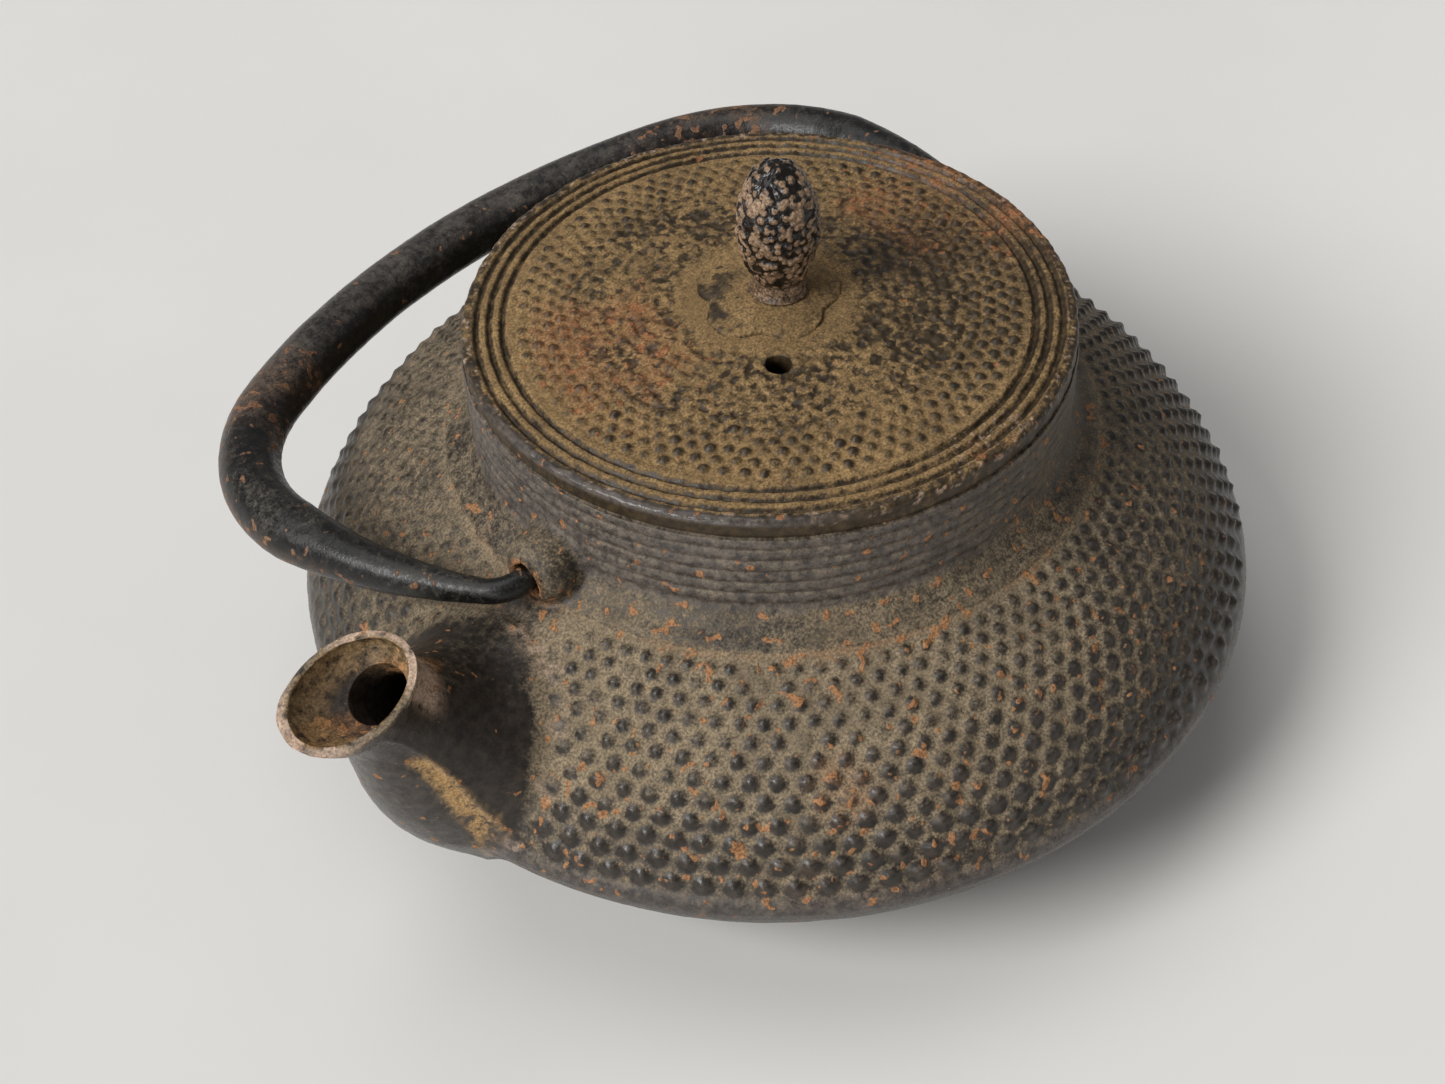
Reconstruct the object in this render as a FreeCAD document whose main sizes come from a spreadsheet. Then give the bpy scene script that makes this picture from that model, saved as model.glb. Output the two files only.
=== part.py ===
"""Cast iron teapot: a flat hobnail pot with a short spout, a loose lid, a swinging bail and a tea infuser.

Millimetres, +Z up. The origin is the centre of the flat base, the spout points along +X,
the bail swings about an axis along X and lies folded towards -Y.
"""
import FreeCAD, Part
import math
import os

import Sketcher

# Driving dimensions: alias, value, meaning.
SIZES = [
    ("base_radius", 46.0, "flat base that the pot stands on"),
    ("bowl_arc", 50.0, "round of the lower bowl, in section"),
    ("edge_radius", 82.5, "widest edge of the pot"),
    ("edge_height", 30.0, "height of the widest edge"),
    ("edge_band", 1.5, "flat parting band below the widest edge"),
    ("shoulder_arc", 45.4, "round of the shoulder, in section"),
    ("collar_radius", 54.5, "collar where the shoulder meets the neck"),
    ("collar_height", 56.5, "height of the collar's foot"),
    ("collar_step", 0.8, "height of the collar's step"),
    ("cove_arc", 7.0, "hollow round between collar and neck"),
    ("neck_radius", 49.4, "neck between its ribs"),
    ("neck_height", 62.0, "height where the neck starts"),
    ("rim_height", 75.6, "top face of the neck"),
    ("rib_count", 6, "ribs round the neck"),
    ("rib_depth", 0.5, "how far a neck rib stands out"),
    ("wall", 4.0, "wall of bowl and shoulder"),
    ("floor_wall", 4.5, "thickness of the pot's floor"),
    ("neck_wall", 4.9, "wall of the neck"),
    ("seat_ledge", 2.0, "width of the infuser's ledge inside the rim"),
    ("seat_depth", 1.4, "depth of that ledge below the rim"),
    ("spout_root_reach", 64.0, "spout root: distance from the axis"),
    ("spout_root_height", 33.0, "spout root: height"),
    ("spout_root_tall", 22.0, "spout root: half height"),
    ("spout_root_wide", 18.0, "spout root: half width"),
    ("spout_root_angle", 22.0, "spout root: angle of its axis, degrees"),
    ("spout_hip_reach", 74.6, "spout hip: distance from the axis"),
    ("spout_hip_height", 39.0, "spout hip: height"),
    ("spout_hip_tall", 18.7, "spout hip: half height"),
    ("spout_hip_wide", 16.4, "spout hip: half width"),
    ("spout_hip_angle", 38.0, "spout hip: angle of its axis, degrees"),
    ("spout_mid_reach", 82.2, "spout middle: distance from the axis"),
    ("spout_mid_height", 49.0, "spout middle: height"),
    ("spout_mid_tall", 12.75, "spout middle: half height"),
    ("spout_mid_wide", 12.0, "spout middle: half width"),
    ("spout_mid_angle", 55.0, "spout middle: angle of its axis, degrees"),
    ("spout_neck_reach", 87.1, "below the lip: distance from the axis"),
    ("spout_neck_height", 58.4, "below the lip: height"),
    ("spout_neck_tall", 9.2, "below the lip: half length"),
    ("spout_neck_wide", 9.0, "below the lip: half width"),
    ("spout_neck_angle", 70.0, "below the lip: angle of its axis, degrees"),
    ("lip_reach", 91.1, "spout lip: distance from the axis"),
    ("lip_height", 65.1, "spout lip: height of its centre"),
    ("lip_long", 11.35, "spout lip: half length"),
    ("lip_wide", 9.55, "spout lip: half width"),
    ("lip_angle", 78.5, "spout lip: angle of its axis, degrees"),
    ("lip_wall", 1.7, "thickness of the lip"),
    ("throat_reach", 86.5, "narrowest place of the bore: distance from the axis"),
    ("throat_height", 60.4, "narrowest place of the bore: height"),
    ("throat_radius", 4.8, "narrowest place of the bore: radius"),
    ("throat_angle", 64.0, "narrowest place of the bore: angle of its axis, degrees"),
    ("gate_reach", 70.0, "bore inside the pot: distance from the axis"),
    ("gate_height", 42.0, "bore inside the pot: height"),
    ("gate_radius", 7.0, "bore inside the pot: radius"),
    ("gate_angle", 40.0, "bore inside the pot: angle of its axis, degrees"),
    ("hinge_height", 60.8, "height of the bail's hinge axis"),
    ("ear_reach", 57.0, "outer face of an ear, from the axis"),
    ("ear_radius", 8.0, "round of an ear about the hinge axis"),
    ("ear_round", 2.2, "rounding of an ear's outer edge"),
    ("bail_play", 0.08, "running room round the bail's tip in its ear"),
    ("ear_depth", 5.6, "depth of the hole in an ear"),
    ("bail_tip_gap", 0.6, "room between the bail's tip and the end of its hole"),
    ("bail_tip_radius", 2.1, "bail at its tip"),
    ("bail_grip_radius", 5.3, "bail along the grip"),
    ("bail_bend", 6.0, "inner bend of the bail beside the ear"),
    ("bail_arm_arc", 89.0, "slow round of the bail's arm"),
    ("bail_corner_share", 0.818, "round of the bail's corner, as a share of the height above its arms"),
    ("bail_half_width", 70.5, "half width of the bail, to its centre line"),
    ("bail_height", 83.2, "hinge axis to the top of the bail's centre line"),
    ("bail_rest_angle", 7.0, "how far the folded bail lies below level, degrees"),
    ("lid_radius", 49.5, "outer edge of the lid"),
    ("lid_edge", 3.5, "thickness of the lid at its edge"),
    ("lid_round", 1.0, "rounding of the lid's top edge"),
    ("lid_rise", 2.1, "how far the lid's middle stands above its edge"),
    ("lid_plate", 3.8, "thickness of the lid's middle"),
    ("lid_ring_pitch", 2.1, "distance between the rings near the lid's edge"),
    ("lid_ring_count", 3, "rings near the lid's edge"),
    ("lid_ring_depth", 0.7, "depth of the groove beside a ring"),
    ("skirt_depth", 5.5, "how far the lid's locating skirt reaches into the neck"),
    ("skirt_wall", 2.2, "thickness of that skirt"),
    ("skirt_gap", 0.8, "room between the skirt and the infuser's collar"),
    ("vent_radius", 2.1, "steam hole in the lid"),
    ("vent_offset", 16.9, "steam hole: distance from the lid's centre"),
    ("vent_angle", 46.7, "steam hole: direction from +X, degrees"),
    ("petal_reach", 12.2, "outer reach of the knob seat's petals"),
    ("petal_notch", 9.3, "radius where two petals meet"),
    ("notch_round", 1.2, "rounding of the notch between two petals"),
    ("petal_count", 5, "petals of the knob seat"),
    ("seat_thick", 1.6, "thickness of the knob seat"),
    ("seat_round", 0.8, "rounding of the knob seat's top edge"),
    ("shank_radius", 2.4, "shank of the knob, through seat and lid"),
    ("shank_gap", 0.1, "room round the shank"),
    ("stem_radius", 4.9, "foot of the knob"),
    ("waist_radius", 4.3, "waist between the knob's foot and its bulb"),
    ("waist_height", 2.6, "knob's foot to its waist"),
    ("bulb_radius", 6.8, "widest place of the knob"),
    ("bulb_low", 9.4, "waist to the widest place"),
    ("bulb_high", 9.0, "widest place to the tip's round"),
    ("tip_radius", 4.5, "start of the tip's round"),
    ("tip_height", 2.7, "height of the tip's round"),
    ("knob_shift_x", -1.25, "how far the knob stands off the axis along X"),
    ("knob_shift_y", 1.3, "how far the knob stands off the axis along Y"),
    ("washer_radius", 6.0, "washer under the lid"),
    ("washer_thick", 1.0, "thickness of that washer"),
    ("rivet_radius", 3.7, "closed end of the shank"),
    ("rivet_thick", 1.1, "thickness of that closed end"),
    ("infuser_gap", 0.5, "room between the infuser and the neck"),
    ("infuser_sheet", 0.7, "sheet that the infuser is made of"),
    ("flange_thick", 0.9, "thickness of the infuser's flange"),
    ("collar_depth", 7.0, "depth of the infuser's collar"),
    ("basket_depth", 30.0, "height of the infuser's slotted wall"),
    ("slot_wide", 3.2, "width of a slot in the infuser's wall"),
    ("slot_tall", 22.0, "height of a slot in the infuser's wall"),
    ("slot_count", 24, "slots round the infuser's wall"),
    ("drain_radius", 1.8, "drain hole in the infuser's floor"),
    ("drain_circle", 26.0, "radius of the ring of drain holes"),
    ("drain_count", 16, "drain holes in that ring"),
]

doc = FreeCAD.newDocument("cast_iron_teapot")
sheet = doc.addObject("Spreadsheet::Sheet", "dim")
for row, (alias, number, meaning) in enumerate(SIZES, start=1):
    sheet.set(f"A{row}", meaning)
    sheet.set(f"B{row}", str(number))
    sheet.setAlias(f"B{row}", alias)
doc.recompute()

# Sizes that several pieces share, as expressions on the sheet.
MOUTH_RADIUS = "(dim.neck_radius - dim.neck_wall)"
LEDGE_RADIUS = f"({MOUTH_RADIUS} + dim.seat_ledge)"
LEDGE_HEIGHT = "(dim.rim_height - dim.seat_depth)"
BASKET_RADIUS = f"({MOUTH_RADIUS} - dim.infuser_gap)"
BASKET_INSIDE = f"({BASKET_RADIUS} - dim.infuser_sheet)"
BASKET_TOP = f"({LEDGE_HEIGHT} - dim.collar_depth)"
BASKET_FOOT = f"({BASKET_TOP} - dim.basket_depth)"
SKIRT_RADIUS = f"({BASKET_INSIDE} - dim.skirt_gap)"
LID_EDGE_TOP = "(dim.rim_height + dim.lid_edge)"
LID_TOP = f"({LID_EDGE_TOP} + dim.lid_rise)"
LID_UNDER = f"({LID_TOP} - dim.lid_plate)"
SEAT_TOP = f"({LID_TOP} + dim.seat_thick)"
SHANK_HOLE = "(dim.shank_radius + dim.shank_gap)"
BAIL_TIP = "(dim.ear_reach - dim.ear_depth + dim.bail_tip_gap)"
ARM_ROUND = "(dim.bail_arm_arc - dim.bail_bend)"
BAIL_TURN = f"asin((dim.ear_reach + dim.bail_arm_arc - dim.bail_half_width) / {ARM_ROUND})"
ARM_REACH = f"(dim.bail_bend + {ARM_ROUND} * cos({BAIL_TURN}))"
CORNER_ARC = f"(dim.bail_corner_share * (dim.bail_height - {ARM_REACH}))"


def count(alias):
    """A whole number from the sheet, for a loop."""
    return int(round(sheet.get(alias)))


def new_body(label):
    """An empty body whose label names its file."""
    body = doc.addObject("PartDesign::Body", label)
    body.Label = label
    return body


def origin_plane(body, role):
    """One of the body's own origin planes or axes."""
    return next(feature for feature in body.Origin.OriginFeatures if feature.Role == role)


def new_sketch(body, name, role):
    """A sketch on one of the body's origin planes."""
    sketch = body.newObject("Sketcher::SketchObject", name)
    sketch.AttachmentSupport = [(origin_plane(body, role), "")]
    sketch.MapMode = "FlatFace"
    return sketch


def shift_sketch(sketch, **shifts):
    """Move a sketch along its plane's own x, y or z by an expression each."""
    for axis, expression in shifts.items():
        sketch.setExpression(f"AttachmentOffset.Base.{axis}", expression)


def arc_between(start, end, radius, turn):
    """An arc of the given radius between two points; turn is "left" or "right" of the way along."""
    middle = (start + end) * 0.5
    along = end - start
    half = along.Length / 2
    normal = FreeCAD.Vector(-along.y, along.x, 0).normalize()
    offset = math.sqrt(max(radius * radius - half * half, 0.0))
    centre = middle + normal * (offset if turn == "left" else -offset)
    first, last = (start, end) if turn == "left" else (end, start)
    angles = [math.atan2(point.y - centre.y, point.x - centre.x) for point in (first, last)]
    return Part.ArcOfCircle(Part.Circle(centre, FreeCAD.Vector(0, 0, 1), radius), *angles)


def bind_point(sketch, edge, end, x, y):
    """Tie one end of an edge to a pair of expressions, measured from the sketch's origin."""
    for kind, axis, expression in (("DistanceX", -2, x), ("DistanceY", -1, y)):
        if expression == "0":
            sketch.addConstraint(Sketcher.Constraint("PointOnObject", edge, end, axis))
        else:
            number = sketch.evalExpression(expression)
            index = sketch.addConstraint(Sketcher.Constraint(kind, -1, 1, edge, end, float(number)))
            sketch.setExpression(f"Constraints[{index}]", expression)


def outline(sketch, corners, arcs=None):
    """A closed ring of edges through corners, each a pair of expressions.

    arcs gives the edges that are round: index of the first corner to (radius, "left" or "right").
    """
    arcs = arcs or {}
    points = [FreeCAD.Vector(sketch.evalExpression(x), sketch.evalExpression(y), 0) for x, y in corners]
    starts, ends = [], []
    for index, start in enumerate(points):
        end = points[(index + 1) % len(points)]
        if index in arcs:
            radius, turn = arcs[index]
            edge = sketch.addGeometry(arc_between(start, end, float(sketch.evalExpression(radius)), turn))
            bound = sketch.addConstraint(
                Sketcher.Constraint("Radius", edge, float(sketch.evalExpression(radius))))
            sketch.setExpression(f"Constraints[{bound}]", radius)
            order = (1, 2) if turn == "left" else (2, 1)
        else:
            edge = sketch.addGeometry(Part.LineSegment(start, end))
            order = (1, 2)
        starts.append((edge, order[0]))
        ends.append((edge, order[1]))
    for index, (x, y) in enumerate(corners):
        sketch.addConstraint(Sketcher.Constraint("Coincident", *ends[index - 1], *starts[index]))
        bind_point(sketch, *starts[index], x, y)


def circle(sketch, radius, x="0", y="0"):
    """A circle of an expression's radius, centred at a pair of expressions."""
    centre = FreeCAD.Vector(sketch.evalExpression(x), sketch.evalExpression(y), 0)
    number = float(sketch.evalExpression(radius))
    edge = sketch.addGeometry(Part.Circle(centre, FreeCAD.Vector(0, 0, 1), number))
    index = sketch.addConstraint(Sketcher.Constraint("Radius", edge, number))
    sketch.setExpression(f"Constraints[{index}]", radius)
    bind_point(sketch, edge, 3, x, y)


def oval(sketch, tall, wide):
    """An ellipse round the sketch's origin, longer along y than along x."""
    half_tall = float(sketch.evalExpression(tall))
    half_wide = float(sketch.evalExpression(wide))
    edge = sketch.addGeometry(Part.Ellipse(
        FreeCAD.Vector(0, half_tall, 0), FreeCAD.Vector(half_wide, 0, 0), FreeCAD.Vector(0, 0, 0)))
    sketch.exposeInternalGeometry(edge)
    sketch.addConstraint(Sketcher.Constraint("Coincident", edge, 3, -1, 1))
    sketch.addConstraint(Sketcher.Constraint("Vertical", edge + 1))
    for axis, half, expression in ((edge + 1, half_tall, tall), (edge + 2, half_wide, wide)):
        index = sketch.addConstraint(Sketcher.Constraint("Distance", axis, 2 * half))
        sketch.setExpression(f"Constraints[{index}]", f"2 * ({expression})")


def turned(body, name, corners, arcs=None, kind="Revolution"):
    """A profile in the XZ plane, turned about the pot's axis to add or cut material."""
    sketch = new_sketch(body, f"{name}_profile", "XZ_Plane")
    outline(sketch, corners, arcs)
    feature = body.newObject(f"PartDesign::{kind}", name)
    feature.Profile = sketch
    feature.ReferenceAxis = (sketch, ["V_Axis"])
    feature.Angle = 360
    return feature


def swept(body, name, section, spine, edges, last=None):
    """A section carried along some edges of a spine, growing into a last section if one is given."""
    feature = body.newObject("PartDesign::AdditivePipe", name)
    feature.Profile = section
    feature.Spine = (spine, edges)
    if last:
        feature.Sections = [last]
        feature.Transformation = "Multisection"
    return feature


def mirrored(body, name, *features):
    """The same features again on the other side of the YZ plane."""
    copy = body.newObject("PartDesign::Mirrored", name)
    copy.Originals = list(features)
    copy.MirrorPlane = (origin_plane(body, "YZ_Plane"), [""])
    body.Tip = copy
    return copy


def ringed(body, name, feature, copies):
    """A feature repeated evenly round the pot's axis."""
    pattern = body.newObject("PartDesign::PolarPattern", name)
    pattern.Originals = [feature]
    pattern.Axis = (origin_plane(body, "Z_Axis"), [""])
    pattern.Angle = 360
    pattern.setExpression("Occurrences", copies)
    body.Tip = pattern
    return pattern


def leaning_section(body, name, reach, height, lean):
    """A sketch plane across the spout, whose axis leans up from +X by an angle."""
    sketch = new_sketch(body, name, "YZ_Plane")
    tilt = FreeCAD.Rotation(FreeCAD.Vector(-1, 0, 0), float(sketch.evalExpression(lean)))
    sketch.AttachmentOffset = FreeCAD.Placement(FreeCAD.Vector(0, 0, 0), tilt)
    shift_sketch(sketch, y=height, z=reach)
    sketch.setExpression("AttachmentOffset.Rotation.Angle", lean)
    return sketch


def lofted(body, name, sections, kind="AdditiveLoft", ruled=False):
    """A skin through several section sketches."""
    feature = body.newObject(f"PartDesign::{kind}", name)
    feature.Profile = sections[0]
    feature.Sections = sections[1:]
    feature.Ruled = ruled
    return feature


def make_pot_body():
    """The pot: one casting with bowl, shoulder, ribbed neck, two ears and a hollow spout."""
    body = new_body("pot_body")
    # Outside of the pot, from the base's centre up to the rim.
    corners = [
        ("0", "0"),
        ("dim.base_radius", "0"),
        ("dim.edge_radius", "dim.edge_height - dim.edge_band"),
        ("dim.edge_radius", "dim.edge_height"),
        ("dim.collar_radius", "dim.collar_height"),
        ("dim.collar_radius", "dim.collar_height + dim.collar_step"),
        ("dim.neck_radius", "dim.neck_height"),
    ]
    arcs = {1: ("dim.bowl_arc", "left"), 3: ("dim.shoulder_arc", "left"), 5: ("dim.cove_arc", "right")}
    pitch = "(dim.rim_height - dim.neck_height) / dim.rib_count"
    for rib in range(count("rib_count")):
        corners.append(("dim.neck_radius + dim.rib_depth", f"dim.neck_height + ({rib} + 0.5) * {pitch}"))
        corners.append(("dim.neck_radius", f"dim.neck_height + ({rib} + 1) * {pitch}"))
    corners.append(("0", "dim.rim_height"))
    turned(body, "shell", corners, arcs)

    # Spout: oval sections that lean up more and more towards the lip.
    sections = []
    for place in ("root", "hip", "mid", "neck"):
        sketch = leaning_section(
            body, f"spout_{place}", f"dim.spout_{place}_reach",
            f"dim.spout_{place}_height", f"dim.spout_{place}_angle")
        oval(sketch, f"dim.spout_{place}_tall", f"dim.spout_{place}_wide")
        sections.append(sketch)
    lip = leaning_section(body, "spout_lip", "dim.lip_reach", "dim.lip_height", "dim.lip_angle")
    oval(lip, "dim.lip_long", "dim.lip_wide")
    lofted(body, "spout", sections + [lip])

    # Ears: round bosses about the hinge axis, between neck and shoulder.
    ear = new_sketch(body, "ear_profile", "XZ_Plane")
    shift_sketch(ear, y="dim.hinge_height")
    outline(
        ear,
        [
            (MOUTH_RADIUS, "0"),
            ("dim.ear_reach", "0"),
            ("dim.ear_reach", "dim.ear_radius - dim.ear_round"),
            ("dim.ear_reach - dim.ear_round", "dim.ear_radius"),
            (MOUTH_RADIUS, "dim.ear_radius"),
        ],
        {2: ("dim.ear_round", "left")})
    boss = body.newObject("PartDesign::Revolution", "ear")
    boss.Profile = ear
    boss.ReferenceAxis = (ear, ["H_Axis"])
    boss.Angle = 360
    mirrored(body, "ears", boss)

    # Hollow of the pot, with the infuser's ledge inside the rim.
    turned(
        body, "hollow",
        [
            ("0", "dim.floor_wall"),
            ("dim.base_radius", "dim.floor_wall"),
            ("dim.edge_radius - dim.wall", "dim.edge_height - dim.edge_band / 2"),
            (MOUTH_RADIUS, "dim.collar_height - dim.wall / 2"),
            (MOUTH_RADIUS, LEDGE_HEIGHT),
            (LEDGE_RADIUS, LEDGE_HEIGHT),
            (LEDGE_RADIUS, "dim.rim_height + dim.wall"),
            ("0", "dim.rim_height + dim.wall"),
        ],
        {1: ("dim.bowl_arc - dim.wall", "left"), 2: ("dim.shoulder_arc - dim.wall", "left")},
        kind="Groove")

    # Bore of the spout: a flared dish at the lip, a throat, then a passage widening into the pot.
    dish = leaning_section(body, "bore_dish", "dim.lip_reach", "dim.lip_height", "dim.lip_angle")
    oval(dish, "dim.lip_long - dim.lip_wall", "dim.lip_wide - dim.lip_wall")
    throat = leaning_section(
        body, "bore_throat", "dim.throat_reach", "dim.throat_height", "dim.throat_angle")
    circle(throat, "dim.throat_radius")
    gate = leaning_section(body, "bore_gate", "dim.gate_reach", "dim.gate_height", "dim.gate_angle")
    circle(gate, "dim.gate_radius")
    lofted(body, "flare", [dish, throat], kind="SubtractiveLoft", ruled=True)
    lofted(body, "passage", [throat, gate], kind="SubtractiveLoft", ruled=True)

    # Holes in the ears for the bail's tips.
    socket = new_sketch(body, "socket_profile", "XZ_Plane")
    shift_sketch(socket, y="dim.hinge_height")
    outline(
        socket,
        [
            ("dim.ear_reach - dim.ear_depth", "0"),
            ("dim.ear_reach + dim.ear_depth", "0"),
            ("dim.ear_reach + dim.ear_depth", "dim.bail_tip_radius + dim.bail_play"),
            ("dim.ear_reach - dim.ear_depth", "dim.bail_tip_radius + dim.bail_play"),
        ])
    hole = body.newObject("PartDesign::Groove", "socket")
    hole.Profile = socket
    hole.ReferenceAxis = (socket, ["H_Axis"])
    hole.Angle = 360
    mirrored(body, "sockets", hole)
    return body


def make_lid():
    """The lid: a low dome with rings near its edge, a locating skirt below and a steam hole."""
    body = new_body("lid")
    corners = [
        ("0", LID_UNDER),
        (f"{SKIRT_RADIUS} - dim.skirt_wall", LID_UNDER),
        (f"{SKIRT_RADIUS} - dim.skirt_wall", "dim.rim_height - dim.skirt_depth"),
        (SKIRT_RADIUS, "dim.rim_height - dim.skirt_depth"),
        (SKIRT_RADIUS, "dim.rim_height"),
        ("dim.lid_radius", "dim.rim_height"),
        ("dim.lid_radius", f"{LID_EDGE_TOP} - dim.lid_round"),
    ]
    arcs = {6: ("dim.lid_round", "left")}
    for ring in range(count("lid_ring_count")):
        groove = f"dim.lid_radius - ({ring} + 1) * dim.lid_ring_pitch - dim.lid_round / 2"
        outer = f"{groove} + dim.lid_ring_depth" if ring else "dim.lid_radius - dim.lid_round"
        corners.append((outer, LID_EDGE_TOP))
        if not ring:
            corners.append((f"{groove} + dim.lid_ring_depth", LID_EDGE_TOP))
        corners.append((groove, f"{LID_EDGE_TOP} - dim.lid_ring_depth"))
        corners.append((f"{groove} - dim.lid_ring_depth", LID_EDGE_TOP))
    arcs[len(corners) - 1] = ("dim.lid_radius * dim.lid_radius / dim.lid_rise / 2", "left")
    corners.append(("dim.petal_reach + dim.seat_round", LID_TOP))
    corners.append(("0", LID_TOP))
    turned(body, "dome", corners, arcs)

    sketch = new_sketch(body, "hole_circles", "XY_Plane")
    circle(
        sketch, "dim.vent_radius",
        "dim.vent_offset * cos(dim.vent_angle * 1 deg)", "dim.vent_offset * sin(dim.vent_angle * 1 deg)")
    circle(sketch, SHANK_HOLE, "dim.knob_shift_x", "dim.knob_shift_y")
    holes = body.newObject("PartDesign::Pocket", "holes")
    holes.Profile = sketch
    holes.Type = "ThroughAll"
    holes.Reversed = True
    return body


def off_axis(body):
    """Place a body where the knob stands, a little off the pot's axis."""
    body.setExpression("Placement.Base.x", "dim.knob_shift_x")
    body.setExpression("Placement.Base.y", "dim.knob_shift_y")
    return body


def rounded(body, name, base, test, radius):
    """Round the edges of a feature that pass a test."""
    doc.recompute()
    edges = enumerate(base.Shape.Edges, start=1)
    rounding = body.newObject("PartDesign::Fillet", name)
    rounding.Base = (base, [f"Edge{index}" for index, edge in edges if test(edge)])
    rounding.setExpression("Radius", radius)
    return rounding


def rise_of(edge):
    """Height between the two ends of an edge."""
    return abs(edge.Vertexes[0].Z - edge.Vertexes[-1].Z)


def make_knob_seat():
    """The knob's seat: a low washer of rounded petals on the lid's flat middle."""
    body = new_body("knob_seat")
    sketch = new_sketch(body, "petals", "XY_Plane")
    shift_sketch(sketch, z=LID_TOP)
    half_petal = "180 deg / dim.petal_count"
    half_chord = f"(dim.petal_notch * sin({half_petal}))"
    bulge = f"(dim.petal_reach - dim.petal_notch * cos({half_petal}))"
    petal_arc = f"({half_chord} ^ 2 + {bulge} ^ 2) / 2 / {bulge}"
    corners, arcs = [], {}
    for petal in range(count("petal_count")):
        angle = f"({2 * petal + 1}) * {half_petal}"
        corners.append((f"dim.petal_notch * cos({angle})", f"dim.petal_notch * sin({angle})"))
        arcs[petal] = (petal_arc, "left")
    outline(sketch, corners, arcs)
    circle(sketch, SHANK_HOLE, "dim.knob_shift_x", "dim.knob_shift_y")
    pad = body.newObject("PartDesign::Pad", "washer")
    pad.Profile = sketch
    pad.setExpression("Length", "dim.seat_thick")
    outer = sheet.get("stem_radius")
    notches = rounded(
        body, "notch_round", pad,
        lambda edge: rise_of(edge) > 1e-6 and math.hypot(*edge.Vertexes[0].Point[:2]) > outer,
        "dim.notch_round")
    top = sheet.evalExpression(SEAT_TOP)
    rounded(
        body, "petal_round", notches,
        lambda edge: edge.Vertexes[0].Z > top - 1e-6 and rise_of(edge) < 1e-6
        and math.hypot(*edge.Vertexes[0].Point[:2]) > outer,
        "dim.seat_round")
    return body


def make_lid_knob():
    """The knob: a bulb on a waisted foot, its shank riveted over under the lid."""
    body = new_body("lid_knob")
    washer_under = f"({LID_UNDER} - dim.washer_thick)"
    waist = f"({SEAT_TOP} + dim.waist_height)"
    widest = f"({waist} + dim.bulb_low)"
    shoulder = f"({widest} + dim.bulb_high)"
    low_drop = "(dim.bulb_radius - dim.waist_radius)"
    high_drop = "(dim.bulb_radius - dim.tip_radius)"
    corners = [
        ("0", f"{washer_under} - dim.rivet_thick"),
        ("dim.rivet_radius", f"{washer_under} - dim.rivet_thick"),
        ("dim.rivet_radius", washer_under),
        ("dim.shank_radius", washer_under),
        ("dim.shank_radius", SEAT_TOP),
        ("dim.stem_radius", SEAT_TOP),
        ("dim.waist_radius", waist),
        ("dim.bulb_radius", widest),
        ("dim.tip_radius", shoulder),
        ("0", f"{shoulder} + dim.tip_height"),
    ]
    arcs = {
        5: ("2 * dim.waist_height", "right"),
        6: (f"(dim.bulb_low ^ 2 + {low_drop} ^ 2) / 2 / {low_drop}", "left"),
        7: (f"(dim.bulb_high ^ 2 + {high_drop} ^ 2) / 2 / {high_drop}", "left"),
        8: ("(dim.tip_radius ^ 2 + dim.tip_height ^ 2) / 2 / dim.tip_height", "left"),
    }
    turned(body, "bulb", corners, arcs)
    return off_axis(body)


def make_knob_washer():
    """The plain washer between the lid and the shank's closed end."""
    body = new_body("knob_washer")
    turned(
        body, "washer_ring",
        [
            (SHANK_HOLE, f"{LID_UNDER} - dim.washer_thick"),
            ("dim.washer_radius", f"{LID_UNDER} - dim.washer_thick"),
            ("dim.washer_radius", LID_UNDER),
            (SHANK_HOLE, LID_UNDER),
        ])
    return off_axis(body)


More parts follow.
